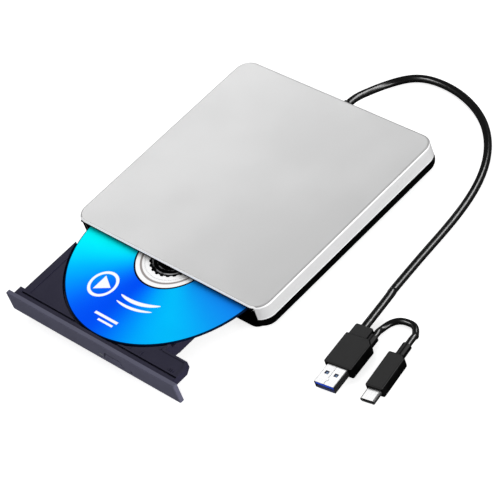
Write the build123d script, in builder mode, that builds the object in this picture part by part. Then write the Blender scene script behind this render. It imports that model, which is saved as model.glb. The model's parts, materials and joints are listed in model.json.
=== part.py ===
from build123d import *
from math import cos, sin, radians, sqrt
import os

# Slim external optical drive with the tray out: a two-shell case, a 12.5 mm tray
# mechanism inside, a disc on the tray, and a captive cable with USB-A and USB-C plugs.
# All lengths in mm.  +Z is up, the tray comes out towards -Y, and +X is right seen from
# the front.  The origin is in the middle of the flat underside; the feet go below it.

# ---- case ----
WIDTH, DEPTH, HEIGHT = 140.4, 134.4, 16.0   # top plate, height above the underside
FRONT_Y = -DEPTH / 2
SEAM_Z = 7.1                # parting plane of the two shells
FLARE = 0.1                 # the upper shell grows this much per side down to the seam
CORNER_R = 8.5              # plan corner radius of the top plate
WALL = 1.6
ROOF = 1.4                  # top plate thickness
ROOF_Z = HEIGHT - ROOF      # ceiling inside the case
BELLY_R = 4.5               # rounding of the lower shell
MOUTH_X = 64.7              # half width of the front mouth
MOUTH_DEPTH = 14            # cutter depth, centred on the front face
FOOT_R, FOOT_POCKET = 6.0, 0.5
GROUND_Z = -1.2             # surface the feet stand on
OVERLAP = 0.1               # added features sink this far into their neighbour

# ---- drive shell ----
PAN_X, PAN_Z0, PAN_Z1 = 63.4, 2.0, 13.6     # half width, bottom, top
PAN_FRONT, PAN_REAR = -63.9, 59.4
STEP_X, STEP_Z = 46.9, 8.2  # right-hand side of the pan steps up here
STEEL = 0.6                 # sheet thickness
PAN_FLOOR = PAN_Z0 + STEEL

# ---- tray ----
OPEN = 56.5                 # how far the tray is out
SPINDLE_Y = -2.2            # spindle axis with the tray closed
DECK_Z, WELL_Z, RIM_Z = 9.0, 10.4, 12.9     # tray underside, well floor, top of the rim
TRAY_X0, TRAY_X1 = -58.0, 41.5              # side faces
TRAY_FRONT, TRAY_REAR = -64.6, 54.0
WELL_R = 61.2
BEZEL_X, BEZEL_Z0, BEZEL_Z1, BEZEL_T = 64.3, 1.9, 14.2, 2.4

# ---- disc ----
DISC_R, HOLE_R, DISC_Z, DISC_T = 60.0, 7.5, 11.5, 1.2

# ---- rails ----
RAIL_Z = 6.2                # rail mid height
RAIL_MIRROR = TRAY_X0 + TRAY_X1             # right rail x is this minus left rail x
GUIDE_Y0, GUIDE_Y1 = -60.0, 52.0
RAIL_Y0, RAIL_Y1 = -58.0, 50.0              # sliding rail with the tray closed

# ---- pickup traverse ----
ROD_R, LENS_X = 1.0, 24.5   # guide rods; distance of the lens from the spindle
SCREW_CENTRE, SCREW_R = (17.5, 5.7), 1.1    # lead screw (across the traverse, z)

# ---- cable ----
CABLE_R, LEAD_R = 2.1, 1.7  # main cable, short lead between the plugs
BORE_GAP = 0.03             # radial clearance of cable bores
EXIT = (0.0, SEAM_Z)        # where the cable leaves the rear wall (x, z)
NOTCH_R, NOTCH_Y = 3.3, 75  # cable notch radius and where its cutter starts

os.makedirs("parts", exist_ok=True)


# ============================ helpers ========================================
def at_z(z):
    """Horizontal sketch plane facing up."""
    return Plane.XY.offset(z)


def at_y(y):
    """Upright sketch plane in (x, z), facing the front: positive extrusions go to -Y."""
    return Plane.XZ.offset(-y)


def at_x(x):
    """Upright sketch plane in (y, z), facing right."""
    return Plane.YZ.offset(x)


def pair(x, y):
    """Left and right points."""
    return [(-x, y), (x, y)]


def corners(x, y):
    """Four points symmetric about both axes."""
    return pair(x, -y) + pair(x, y)


def circles(radius, *centres, mode=Mode.ADD):
    """Draw equal circles in the current sketch."""
    with Locations(*centres):
        Circle(radius, mode=mode)


def rectangles(width, height, *centres, mode=Mode.ADD):
    """Draw equal rectangles in the current sketch."""
    with Locations(*centres):
        Rectangle(width, height, mode=mode)


def crosses(length, *centres):
    """Draw the cross recesses of screw heads in the current sketch."""
    rectangles(length, 0.5, *centres)
    rectangles(0.5, length, *centres)


def save(builder, name):
    """Label a finished piece and write its STEP file."""
    builder.part.label = name
    export_step(builder.part, f"parts/{name}.step")


# ---- shared positions ----
FEET = corners(50.0, 50.0)
BOSSES = pair(61.5, 62.7)                   # rear case screws
MOUNTS = corners(38, 40)                    # screws holding the drive to the case
SIDE_SCREWS = [(-52, 11.4), (0, 11.4), (52, 11.4)]      # (y, z)
ADAPTER_SCREWS = [(-16, 62.3), (22, 62.3)]

# Tray positions, given as with the tray closed
BUTTON = (17.0, 6.4)                        # eject button stem (x, z)
LED = (7.1, 6.0)                            # status light (x, z)
PIN_HOLE = (29.4, 4.8)                      # release pin hole (x, z)
LATCH_PIVOT = (33.5, -60)                   # (x, y)
EJECTOR = (10, 7.5)                         # ejector axis (x, z)

# Traverse positions
DAMPERS = [(-15, 16.5), (-15, -13), (48, -15)]          # (along, across)
RODS = [(11.0, 6.2), (-11.0, 6.2)]                      # (across, z)

# ---- moving frames, with the tray out ----
SIN_45 = sqrt(0.5)
tray = Plane((0, -OPEN, 0))
spindle = Plane((0, SPINDLE_Y - OPEN, 0))
# Seen from above: local x runs from the spindle to the front left, local y to the front right
traverse = Plane(origin=spindle.origin, x_dir=(-SIN_45, -SIN_45, 0), z_dir=(0, 0, 1))
# Across the traverse: local (across, z), extrusions run away from the spindle
along = Plane(origin=spindle.origin, x_dir=(SIN_45, -SIN_45, 0), z_dir=(-SIN_45, -SIN_45, 0))
bezel_face = at_y(FRONT_Y - OPEN)


# ============================ case ===========================================
boss_r = 2.2
lip_z = 14.35               # lower edge of the lip over the mouth
rib_z = 11
tongues = [(side * 68.05, y) for side in (-1, 1) for y in (-42, 0, 42)]

with BuildPart() as top_cover:
    with BuildSketch(at_z(SEAM_Z)):
        RectangleRounded(WIDTH + 2 * FLARE, DEPTH + 2 * FLARE, CORNER_R + FLARE)
    extrude(amount=HEIGHT - SEAM_Z, taper=0.644)
    fillet(top_cover.faces().sort_by(Axis.Z)[-1].edges(), 1.2)
    with BuildSketch(at_z(SEAM_Z)):
        RectangleRounded(WIDTH - 2 * WALL, DEPTH - 2 * WALL, CORNER_R - WALL)
    extrude(amount=ROOF_Z - SEAM_Z, mode=Mode.SUBTRACT)
    # front mouth for the bezel
    with BuildSketch(at_z(SEAM_Z)):
        rectangles(2 * MOUTH_X, MOUTH_DEPTH, (0, FRONT_Y))
    extrude(amount=ROOF_Z - SEAM_Z, mode=Mode.SUBTRACT)
    # thin downturned lip over the mouth
    with BuildSketch(at_z(lip_z)):
        rectangles(2 * MOUTH_X + 1, 1.04, (0, -66.72))
    extrude(amount=ROOF_Z - lip_z + OVERLAP)
    # rear screw bosses
    with BuildSketch(at_z(SEAM_Z)):
        circles(boss_r, *BOSSES)
    extrude(amount=ROOF_Z - SEAM_Z + OVERLAP)
    with BuildSketch(at_z(SEAM_Z)):
        circles(0.85, *BOSSES)
    extrude(amount=5, mode=Mode.SUBTRACT)
    # snap tongues reaching down inside the lower shell
    with BuildSketch(at_z(5.9)):
        rectangles(1.1, 9, *tongues)
    extrude(amount=3.2)
    # ceiling ribs beside the drive
    with BuildSketch(at_z(rib_z)):
        rectangles(3.4, 1.2, *corners(67.0, 21))
    extrude(amount=ROOF_Z - rib_z + OVERLAP)
    # cable notch
    with BuildSketch(at_y(NOTCH_Y)):
        circles(NOTCH_R, EXIT)
    extrude(amount=12, mode=Mode.SUBTRACT)
save(top_cover, "top_cover")

boss_z = 0.5
pillar_top = 3.2            # underside of the adapter board
front_lip_depth = 12

with BuildPart() as bottom_cover:
    with BuildSketch(Plane.XY):
        RectangleRounded(WIDTH + 2 * FLARE, DEPTH + 2 * FLARE, CORNER_R + FLARE)
    extrude(amount=SEAM_Z)
    fillet(bottom_cover.faces().sort_by(Axis.Z)[0].edges(), BELLY_R)
    offset(amount=-WALL, openings=bottom_cover.faces().sort_by(Axis.Z)[-1])
    with BuildSketch(at_z(WALL)):
        rectangles(2 * MOUTH_X, MOUTH_DEPTH, (0, FRONT_Y))
    extrude(amount=SEAM_Z, mode=Mode.SUBTRACT)
    # straight front lip under the bezel
    with BuildSketch(Plane.XY):
        with Locations((0, FRONT_Y + front_lip_depth / 2)):
            RectangleRounded(2 * MOUTH_X, front_lip_depth, 5.9)
    extrude(amount=WALL)
    # rear bosses, with through holes and head pockets
    with BuildSketch(at_z(boss_z)):
        circles(boss_r, *BOSSES)
    extrude(amount=SEAM_Z - boss_z)
    with BuildSketch(Plane.XY):
        circles(1.1, *BOSSES)
    extrude(amount=SEAM_Z, mode=Mode.SUBTRACT)
    with BuildSketch(Plane.XY):
        circles(1.85, *BOSSES)
    extrude(amount=1.4, mode=Mode.SUBTRACT)
    # drive mounting holes with head pockets
    with BuildSketch(Plane.XY):
        circles(1.1, *MOUNTS)
    extrude(amount=WALL, mode=Mode.SUBTRACT)
    with BuildSketch(Plane.XY):
        circles(2.1, *MOUNTS)
    extrude(amount=0.9, mode=Mode.SUBTRACT)
    # foot pockets
    with BuildSketch(Plane.XY):
        circles(FOOT_R + 0.1, *FEET)
    extrude(amount=FOOT_POCKET, mode=Mode.SUBTRACT)
    # adapter board pillars
    with BuildSketch(at_z(WALL)):
        circles(1.7, *ADAPTER_SCREWS)
    extrude(amount=pillar_top - WALL)
    with BuildSketch(at_z(2.0)):
        circles(0.7, *ADAPTER_SCREWS)
    extrude(amount=2, mode=Mode.SUBTRACT)
    # cable notch
    with BuildSketch(at_y(NOTCH_Y)):
        circles(NOTCH_R, EXIT)
    extrude(amount=12, mode=Mode.SUBTRACT)
save(bottom_cover, "bottom_cover")

with BuildPart() as rubber_feet:
    with BuildSketch(at_z(FOOT_POCKET)):
        circles(FOOT_R, *FEET)
    extrude(amount=GROUND_Z - FOOT_POCKET)
    chamfer(rubber_feet.faces().group_by(Axis.Z)[0].edges(), 0.4)
save(rubber_feet, "rubber_feet")

head_z, head_height = 0.3, 1.1
with BuildPart() as case_screws:
    with BuildSketch(at_z(head_z)):
        circles(1.75, *BOSSES)
    extrude(amount=head_height)
    with BuildSketch(at_z(head_z + head_height)):
        circles(0.8, *BOSSES)
    extrude(amount=9.6)
    with BuildSketch(at_z(head_z)):
        crosses(2.4, *BOSSES)
    extrude(amount=0.6, mode=Mode.SUBTRACT)
save(case_screws, "case_screws")

head_z, head_height = 0.1, 0.8
with BuildPart() as drive_mount_screws:
    with BuildSketch(at_z(head_z)):
        circles(2.0, *MOUNTS)
    extrude(amount=head_height)
    with BuildSketch(at_z(head_z + head_height)):
        circles(0.95, *MOUNTS)
    extrude(amount=1.7)
    with BuildSketch(at_z(head_z)):
        crosses(2.6, *MOUNTS)
    extrude(amount=0.5, mode=Mode.SUBTRACT)
save(drive_mount_screws, "drive_mount_screws")

lower_pads = [(-20, -52), (20, -52), (-52, 0), (36, 0), (-20, 48), (20, 48)]
upper_pads = pair(50, -54) + pair(50, 50)
with BuildPart() as foam_pads:
    with BuildSketch(at_z(WALL)):
        rectangles(14, 6, *lower_pads)
    extrude(amount=PAN_Z0 - WALL)
    with BuildSketch(at_z(PAN_Z1 + STEEL)):
        rectangles(12, 5, *upper_pads)
    extrude(amount=ROOF_Z - PAN_Z1 - STEEL)
save(foam_pads, "foam_pads")


# ============================ drive shell ====================================
# Pan section in (x, z): deep on the left, stepped up on the right
pan_outer = [
    (-PAN_X, PAN_Z1), (-PAN_X, PAN_Z0), (STEP_X, PAN_Z0),
    (STEP_X, STEP_Z), (PAN_X, STEP_Z), (PAN_X, PAN_Z1),
]
pan_inner = [
    (PAN_X - STEEL, PAN_Z1), (PAN_X - STEEL, STEP_Z + STEEL),
    (STEP_X - STEEL, STEP_Z + STEEL), (STEP_X - STEEL, PAN_FLOOR),
    (-PAN_X + STEEL, PAN_FLOOR), (-PAN_X + STEEL, PAN_Z1),
]
side_hole_r = 0.8
side_hole_x, side_hole_length = -70, 140    # cutter through both side walls

with BuildPart() as drive_chassis:
    with BuildSketch(at_y(PAN_FRONT)):
        with BuildLine():
            Polyline(*pan_outer, *pan_inner, close=True)
        make_face()
    extrude(amount=-(PAN_REAR - PAN_FRONT))
    # rear wall
    with BuildSketch(at_y(PAN_REAR - STEEL)):
        with BuildLine():
            Polyline(*pan_outer, close=True)
        make_face()
    extrude(amount=-STEEL)
    # connector window in the rear wall
    with BuildSketch(at_y(PAN_REAR + 1)):
        rectangles(30.6, 3.6, (-34, 6.1))
    extrude(amount=2.5, mode=Mode.SUBTRACT)
    # slots and mounting holes in the floor
    with BuildSketch(at_z(PAN_Z0)):
        with Locations((-50, -30), (-50, 20), (30, -20), (30, 20)):
            SlotOverall(16, 3, rotation=90)
        with Locations((10, -25), (10, 0), (10, 25)):
            SlotOverall(14, 2.5)
    extrude(amount=STEEL, mode=Mode.SUBTRACT)
    with BuildSketch(at_z(PAN_Z0)):
        circles(1.0, *MOUNTS)
    extrude(amount=STEEL, mode=Mode.SUBTRACT)
    # side screw holes
    with BuildSketch(at_x(side_hole_x)):
        circles(side_hole_r, *SIDE_SCREWS)
    extrude(amount=side_hole_length, mode=Mode.SUBTRACT)
save(drive_chassis, "drive_chassis")

lid_x = PAN_X + STEEL                       # half width of the lid
lid_length = PAN_REAR + STEEL - PAN_FRONT
lid_mid_y = (PAN_FRONT + PAN_REAR + STEEL) / 2
flange_z = 9.6                              # lower edge of the side and rear flanges

with BuildPart() as drive_top_plate:
    with BuildSketch(at_z(PAN_Z1)):
        rectangles(2 * lid_x, lid_length, (0, lid_mid_y))
    extrude(amount=STEEL)
    with BuildSketch(at_z(flange_z)):
        rectangles(STEEL, lid_length, *pair(PAN_X + STEEL / 2, lid_mid_y))
        rectangles(2 * lid_x, STEEL, (0, PAN_REAR + STEEL / 2))
    extrude(amount=PAN_Z1 - flange_z + OVERLAP)
    # shallow ring grooves over the disc and over its hub
    with BuildSketch(at_z(PAN_Z1 + STEEL)):
        with Locations((0, SPINDLE_Y)):
            Circle(52)
            Circle(49.5, mode=Mode.SUBTRACT)
            Circle(17)
            Circle(15, mode=Mode.SUBTRACT)
    extrude(amount=-0.25, mode=Mode.SUBTRACT)
    with BuildSketch(at_x(side_hole_x)):
        circles(side_hole_r, *SIDE_SCREWS)
    extrude(amount=side_hole_length, mode=Mode.SUBTRACT)
save(drive_top_plate, "drive_top_plate")

with BuildPart() as drive_side_screws:
    for side in (1, -1):
        with BuildSketch(at_x(side * lid_x)):
            circles(1.6, *SIDE_SCREWS)
        extrude(amount=side * 0.5)
        with BuildSketch(at_x(side * lid_x)):
            circles(0.75, *SIDE_SCREWS)
        extrude(amount=side * -1.1)
save(drive_side_screws, "drive_side_screws")


# ============================ rails ==========================================
def channel(back_x, web_x, lip_x, outer, inner):
    """C-section in (x, z) for the left side, open to the right.

    outer and inner are half heights about the rail mid height.
    """
    return [
        (back_x, RAIL_Z - outer), (lip_x, RAIL_Z - outer),
        (lip_x, RAIL_Z - inner), (web_x, RAIL_Z - inner),
        (web_x, RAIL_Z + inner), (lip_x, RAIL_Z + inner),
        (lip_x, RAIL_Z + outer), (back_x, RAIL_Z + outer),
    ]


def to_right(profile):
    """Mirror a left-hand rail section to the right-hand side of the tray."""
    return [(RAIL_MIRROR - x, z) for x, z in profile]


guide_section = channel(back_x=-62.7, web_x=-61.9, lip_x=-60.3, outer=2.0, inner=1.25)
rail_section = channel(back_x=-61.8, web_x=-61.3, lip_x=-59.4, outer=1.15, inner=0.75)

with BuildPart() as rail_guides:
    with BuildSketch(at_y(GUIDE_Y0)):
        for section in (guide_section, to_right(guide_section)):
            with BuildLine():
                Polyline(*section, close=True)
            make_face()
    extrude(amount=-(GUIDE_Y1 - GUIDE_Y0))
save(rail_guides, "rail_guides")

# The sliding rails travel half as far as the tray
for side, section in (("left", rail_section), ("right", to_right(rail_section))):
    with BuildPart() as slide_rail:
        with BuildSketch(at_y(RAIL_Y0 - OPEN / 2)):
            with BuildLine():
                Polyline(*section, close=True)
            make_face()
        extrude(amount=-(RAIL_Y1 - RAIL_Y0))
    save(slide_rail, f"slide_rail_{side}")

pin_centre = (29, -52)
with BuildPart() as lock_pin:
    with BuildSketch(at_z(PAN_FLOOR)):
        circles(1.6, pin_centre)
    extrude(amount=0.15)
    with BuildSketch(at_z(PAN_FLOOR)):
        circles(0.9, pin_centre)
    extrude(amount=1.1)
save(lock_pin, "lock_pin")


# ============================ tray ===========================================
skin = 1.4                  # thickness of the tray's side and rear walls
front_skin = 1.6
skirt_z = 4.3               # lower edge of the skirt walls
rear_skirt_z = 4.6
tray_mid_x = (TRAY_X0 + TRAY_X1) / 2
tray_width = TRAY_X1 - TRAY_X0
tongue_height = 1.3

# Plan outlines in tray (x, y); all three widen into a wing at the front right
tray_outline = [
    (TRAY_X0, TRAY_FRONT), (60.2, TRAY_FRONT), (60.2, TRAY_FRONT + 9.2),
    (57.6, TRAY_FRONT + 13.4), (TRAY_X1, TRAY_FRONT + 13.4), (TRAY_X1, TRAY_REAR - 6),
    (TRAY_X1 - 6, TRAY_REAR), (TRAY_X0 + 6, TRAY_REAR), (TRAY_X0, TRAY_REAR - 6),
]
pocket_outline = [
    (-53.2, TRAY_FRONT + 4.4), (58.6, TRAY_FRONT + 4.4), (58.6, TRAY_FRONT + 9.0),
    (56.7, TRAY_FRONT + 12.2), (TRAY_X1 - 1.2, TRAY_FRONT + 12.2),
    (TRAY_X1 - 1.2, TRAY_REAR - 7), (-53.2, TRAY_REAR - 7),
]
hollow_outline = [
    (TRAY_X0 + skin, TRAY_FRONT + front_skin), (58.8, TRAY_FRONT + front_skin),
    (58.8, TRAY_FRONT + 8.8), (56.8, TRAY_FRONT + 12), (TRAY_X1 - skin, TRAY_FRONT + 12),
    (TRAY_X1 - skin, TRAY_REAR - 7), (TRAY_X1 - 7, TRAY_REAR - skin),
    (TRAY_X0 + 7, TRAY_REAR - skin), (TRAY_X0 + skin, TRAY_REAR - 7),
]

with BuildPart() as disc_tray:
    with BuildSketch(tray.offset(DECK_Z)):
        with BuildLine():
            Polyline(*tray_outline, close=True)
        make_face()
    extrude(amount=RIM_Z - DECK_Z)
    # traverse window
    with BuildSketch(traverse.offset(8.5)):
        Circle(18)
        rectangles(56, 20, (31, 0))
        rectangles(10.8, 10.8, (55.4, 0))
    extrude(amount=6.0, mode=Mode.SUBTRACT)
    # small end block behind the bezel on the left
    with BuildSketch(tray.offset(DECK_Z)):
        rectangles(3.4, 5.2, (TRAY_X0 - 1.6, TRAY_FRONT + 2.6))
    extrude(amount=RIM_Z - DECK_Z)
    # disc well and the inner step for small discs
    with BuildSketch(tray.offset(RIM_Z)):
        circles(WELL_R, (0, SPINDLE_Y))
    extrude(amount=-(RIM_Z - WELL_Z), mode=Mode.SUBTRACT)
    with BuildSketch(tray.offset(WELL_Z)):
        circles(41.5, (0, SPINDLE_Y))
    extrude(amount=-0.35, mode=Mode.SUBTRACT)
    # shallow pocket that leaves a raised border along the left edge and round the wing
    with BuildSketch(tray.offset(RIM_Z)):
        with BuildLine():
            Polyline(*pocket_outline, close=True)
        make_face()
    extrude(amount=-0.4, mode=Mode.SUBTRACT)
    # small ribs on the front rim and on the wing
    with BuildSketch(tray.offset(RIM_Z - 0.45)):
        rectangles(0.5, 1.6, *[(x, TRAY_FRONT + 5.3) for x in (52.6, 53.9, 55.2)])
        rectangles(0.6, 1.2, (24.0, TRAY_FRONT + 5.1))
        rectangles(0.6, 2.4, (31.9, TRAY_FRONT + 5.7))
        rectangles(0.7, 1.4, (38.9, TRAY_FRONT + 12.9))
    extrude(amount=0.45)
    # cross groove and ridge behind the bezel
    with BuildSketch(tray.offset(RIM_Z)):
        rectangles(118, 1.0, (1, TRAY_FRONT + 2.9))
    extrude(amount=-1.2, mode=Mode.SUBTRACT)
    with BuildSketch(tray.offset(RIM_Z)):
        rectangles(118, 1.8, (1, TRAY_FRONT + 0.9))
    extrude(amount=0.7)
    # hollow under the rims
    with BuildSketch(tray.offset(DECK_Z)):
        with BuildLine():
            Polyline(*hollow_outline, close=True)
        make_face()
        circles(WELL_R + 1.2, (0, SPINDLE_Y), mode=Mode.SUBTRACT)
    extrude(amount=2.1, mode=Mode.SUBTRACT)
    # skirt walls: sides and front, then rear
    with BuildSketch(tray.offset(skirt_z)):
        rectangles(skin, 118, (TRAY_X0 + skin / 2, -5))
        rectangles(skin, 118, (TRAY_X1 - skin / 2, -5))
        rectangles(tray_width, front_skin, (tray_mid_x, TRAY_FRONT + front_skin / 2))
    extrude(amount=DECK_Z - skirt_z)
    with BuildSketch(tray.offset(rear_skirt_z)):
        rectangles(tray_width - 12, skin, (tray_mid_x, TRAY_REAR - skin / 2))
    extrude(amount=DECK_Z - rear_skirt_z)
    # rail tongues
    with BuildSketch(tray.offset(RAIL_Z - tongue_height / 2)):
        rectangles(3.4, 72, (TRAY_X0 - 1.5, 16))
        rectangles(3.4, 72, (TRAY_X1 + 1.5, 16))
    extrude(amount=tongue_height)
    # front openings for the button stem, the light pipe and the release pin
    with BuildSketch(at_y(TRAY_FRONT - OPEN - 1)):
        rectangles(4.0, 2.4, BUTTON)
        rectangles(2.4, 1.4, LED)
        circles(0.7, PIN_HOLE)
    extrude(amount=-4, mode=Mode.SUBTRACT)
    # rear opening for the ejector rod
    with BuildSketch(at_y(TRAY_REAR - OPEN + 1)):
        circles(0.95, EJECTOR)
    extrude(amount=4, mode=Mode.SUBTRACT)
    # bores for the damper screws
    with BuildSketch(traverse.offset(DECK_Z)):
        circles(0.7, *DAMPERS)
    extrude(amount=1.0, mode=Mode.SUBTRACT)
    # latch pivot post and the thinner pin below it
    with BuildSketch(tray.offset(4.9)):
        circles(1.6, LATCH_PIVOT)
    extrude(amount=11.3 - 4.9)
    with BuildSketch(tray.offset(2.85)):
        circles(0.8, LATCH_PIVOT)
    extrude(amount=3)
save(disc_tray, "disc_tray")

button_opening = [(11.0, 9.2), (22.3, 9.2), (24.0, 4.5), (8.7, 4.5)]        # (x, z)
button_outline = [(11.6, 8.55), (21.85, 8.55), (23.15, 4.75), (9.05, 4.75)]  # (x, z)

with BuildPart() as tray_bezel:
    with BuildSketch(bezel_face):
        with Locations((0, (BEZEL_Z0 + BEZEL_Z1) / 2)):
            RectangleRounded(2 * BEZEL_X, BEZEL_Z1 - BEZEL_Z0, 0.5)
    extrude(amount=-BEZEL_T)
    # chamfered edges of the face
    front_face = tray_bezel.faces().sort_by(Axis.Y)[0]
    chamfer(front_face.edges().filter_by(GeomType.LINE), 0.35)
    # openings for the eject button, the status light and the release pin
    with BuildSketch(bezel_face):
        with BuildLine():
            Polyline(*button_opening, close=True)
        make_face()
    extrude(amount=-BEZEL_T, mode=Mode.SUBTRACT)
    with BuildSketch(bezel_face):
        rectangles(3.2, 1.2, LED)
    extrude(amount=-BEZEL_T, mode=Mode.SUBTRACT)
    with BuildSketch(bezel_face):
        circles(0.9, PIN_HOLE)
    extrude(amount=-BEZEL_T, mode=Mode.SUBTRACT)
    # small tabs on the back
    tab_y = FRONT_Y - OPEN + BEZEL_T + 0.1
    with BuildSketch(at_z(7.6)):
        rectangles(5, 0.2, (-50, tab_y), (34, tab_y))
    extrude(amount=1.2)
save(tray_bezel, "tray_bezel")

with BuildPart() as eject_button:
    with BuildSketch(bezel_face.offset(0.15)):
        with BuildLine():
            Polyline(*button_outline, close=True)
        make_face()
    extrude(amount=-1.75)
    chamfer(eject_button.faces().sort_by(Axis.Y)[0].edges(), 0.2)
    # stem to the switch
    with BuildSketch(bezel_face.offset(-1.5)):
        rectangles(3.4, 1.8, BUTTON)
    extrude(amount=-2.6)
save(eject_button, "eject_button")

with BuildPart() as led_light_pipe:
    with BuildSketch(bezel_face.offset(-0.1)):
        rectangles(3.1, 1.1, LED)
    extrude(amount=-2.25)
    with BuildSketch(bezel_face.offset(-2.3)):
        rectangles(2.2, 1.1, LED)
    extrude(amount=-2.1)
save(led_light_pipe, "led_light_pipe")

switch_board_y, switch_board_t = -61.6, 0.8     # front face with the tray closed
switch_t = 0.7
with BuildPart() as switch_board:
    with BuildSketch(tray.offset(4.4)):
        rectangles(22, switch_board_t, (12, switch_board_y + switch_board_t / 2))
    extrude(amount=4.4)
save(switch_board, "switch_board")

with BuildPart() as switch_board_parts:
    # status lamp, then the switch with its plunger
    with BuildSketch(at_y(switch_board_y - OPEN)):
        rectangles(2.0, 1.25, LED)
    extrude(amount=0.8)
    with BuildSketch(at_y(switch_board_y - OPEN)):
        rectangles(3.6, 3.6, BUTTON)
    extrude(amount=switch_t)
    with BuildSketch(at_y(switch_board_y - switch_t - OPEN)):
        circles(0.8, BUTTON)
    extrude(amount=0.1)
save(switch_board_parts, "switch_board_parts")

cover_z, cover_t = 3.9, 0.4
cover_x0, cover_x1 = TRAY_X0 + 0.1, TRAY_X1 - 0.1
cover_outline = [
    (cover_x0, -62.4), (27, -62.4), (27, -45),
    (cover_x1, -45), (cover_x1, 47), (cover_x0, 47),
]
with BuildPart() as tray_under_cover:
    with BuildSketch(tray.offset(cover_z)):
        with BuildLine():
            Polyline(*cover_outline, close=True)
        make_face()
    extrude(amount=cover_t)
    # slots
    with BuildSketch(tray.offset(cover_z)):
        with Locations(*[(x, 30) for x in (-40, -28, -16, 16, 28)]):
            SlotOverall(14, 2.2, rotation=90)
        with Locations((-46, -10), (20, -25), (20, -10)):
            SlotOverall(12, 2.2)
    extrude(amount=cover_t, mode=Mode.SUBTRACT)
    # small round holes
    with BuildSketch(tray.offset(cover_z)):
        circles(0.65, (-50, -50), (-50, 44), (36, 44), (18, -56))
    extrude(amount=cover_t, mode=Mode.SUBTRACT)
save(tray_under_cover, "tray_under_cover")

board_z, board_t = 5.0, 0.9
socket_height = 0.65
with BuildPart() as tray_circuit_board:
    with BuildSketch(tray.offset(board_z)):
        rectangles(92, 27, (-8.5, 37.5))
        rectangles(6, 6, (-54, 50), (36, 50), mode=Mode.SUBTRACT)
    extrude(amount=board_t)
save(tray_circuit_board, "tray_circuit_board")

small_parts = [
    (30, 30), (30, 34), (30, 38), (-34, 28), (-30, 28), (-26, 28), (12, 30), (15, 30),
]
with BuildPart() as board_chips:
    with BuildSketch(tray.offset(board_z + board_t)):
        rectangles(13, 13, (-20, 38))
        rectangles(9, 9, (4, 40))
        rectangles(8, 5, (20, 36))
        rectangles(6, 10, (-40, 36))
    extrude(amount=1.2)
    with BuildSketch(tray.offset(board_z + board_t)):
        rectangles(1.6, 0.8, *small_parts)
    extrude(amount=0.7)
    # ribbon socket under the rear edge
    with BuildSketch(tray.offset(board_z - socket_height)):
        rectangles(25, 3.2, (-18, 49.3))
    extrude(amount=socket_height)
save(board_chips, "board_chips")

# Ribbon: forward along the pan floor, one fold, then back to the tray board
ribbon_t = 0.15
low_z, high_z = 2.65, 3.75                  # outer faces of the two runs
mid_z = (low_z + high_z) / 2
fold_outer = (high_z - low_z) / 2
fold_inner = fold_outer - ribbon_t
fold_y = 10.0 - OPEN / 2 - 18.5
case_end_y, tray_end_y = 57, 49 - OPEN
with BuildPart() as flex_cable:
    with BuildSketch(at_x(-30)):
        with BuildLine():
            Line((case_end_y, low_z), (fold_y, low_z))
            ThreePointArc((fold_y, low_z), (fold_y - fold_outer, mid_z), (fold_y, high_z))
            Line((fold_y, high_z), (tray_end_y, high_z))
            Line((tray_end_y, high_z), (tray_end_y, high_z - ribbon_t))
            Line((tray_end_y, high_z - ribbon_t), (fold_y, high_z - ribbon_t))
            ThreePointArc((fold_y, high_z - ribbon_t), (fold_y - fold_inner, mid_z),
                          (fold_y, low_z + ribbon_t))
            Line((fold_y, low_z + ribbon_t), (case_end_y, low_z + ribbon_t))
            Line((case_end_y, low_z + ribbon_t), (case_end_y, low_z))
        make_face()
    extrude(amount=24)
save(flex_cable, "flex_cable")


# ============================ traverse =======================================
base_z, base_t = 7.6, 1.2                   # traverse base plate
end_wall_z, base_rim_z = 5.1, 6.6           # lower edges
sheet_z = 9.5                               # underside of the sheet cover
stator_z, stator_t = 4.7, 0.5
motor_post_radius, motor_post_angle = 12.6, 60          # pattern of three posts
base_outline = [
    (-19, -17.5), (54, -17.5), (67, -8), (67, 14), (64.5, 19), (60, 21), (-19, 21),
]
cover_posts = [(-16.4, 0), (0, 16.4), (0, -16.4), (57, 8.9), (57, -8.9)]

with BuildPart() as traverse_base:
    with BuildSketch(traverse.offset(base_z)):
        with BuildLine():
            Polyline(*base_outline, close=True)
        make_face()
    extrude(amount=base_t)
    # openings for the motor, the pickup and the dampers
    with BuildSketch(traverse.offset(base_z)):
        Circle(11.2)
        rectangles(50, 16, (40, 0))
        circles(2.25, *DAMPERS)
    extrude(amount=base_t, mode=Mode.SUBTRACT)
    # end walls for the rods and the lead screw bearing
    with BuildSketch(traverse.offset(end_wall_z)):
        rectangles(1.8, 26, (15.4, 0))
        rectangles(1.8, 25, (65.4, 1))
        rectangles(0.9, 5.6, (64.9, 16.4))
    extrude(amount=base_z - end_wall_z + OVERLAP)
    # rims along the two long edges
    with BuildSketch(traverse.offset(base_rim_z)):
        rectangles(60, 1.0, (12, -17.0))
        rectangles(78, 1.0, (20, 20.5))
    extrude(amount=base_z - base_rim_z + OVERLAP)
    # posts under the sheet cover and posts for the motor
    with BuildSketch(traverse.offset(base_z + base_t)):
        circles(0.6, *cover_posts)
    extrude(amount=sheet_z - base_z - base_t)
    with BuildSketch(traverse.offset(stator_z + stator_t)):
        with PolarLocations(motor_post_radius, 3, start_angle=motor_post_angle):
            Circle(1.0)
    extrude(amount=base_z - stator_z - stator_t + OVERLAP)
    # bores for the rods and the lead screw
    with BuildSketch(along.offset(14)):
        circles(ROD_R + 0.02, *RODS)
    extrude(amount=53.5, mode=Mode.SUBTRACT)
    with BuildSketch(along.offset(64)):
        circles(0.55, SCREW_CENTRE)
    extrude(amount=3, mode=Mode.SUBTRACT)
save(traverse_base, "traverse_base")

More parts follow.
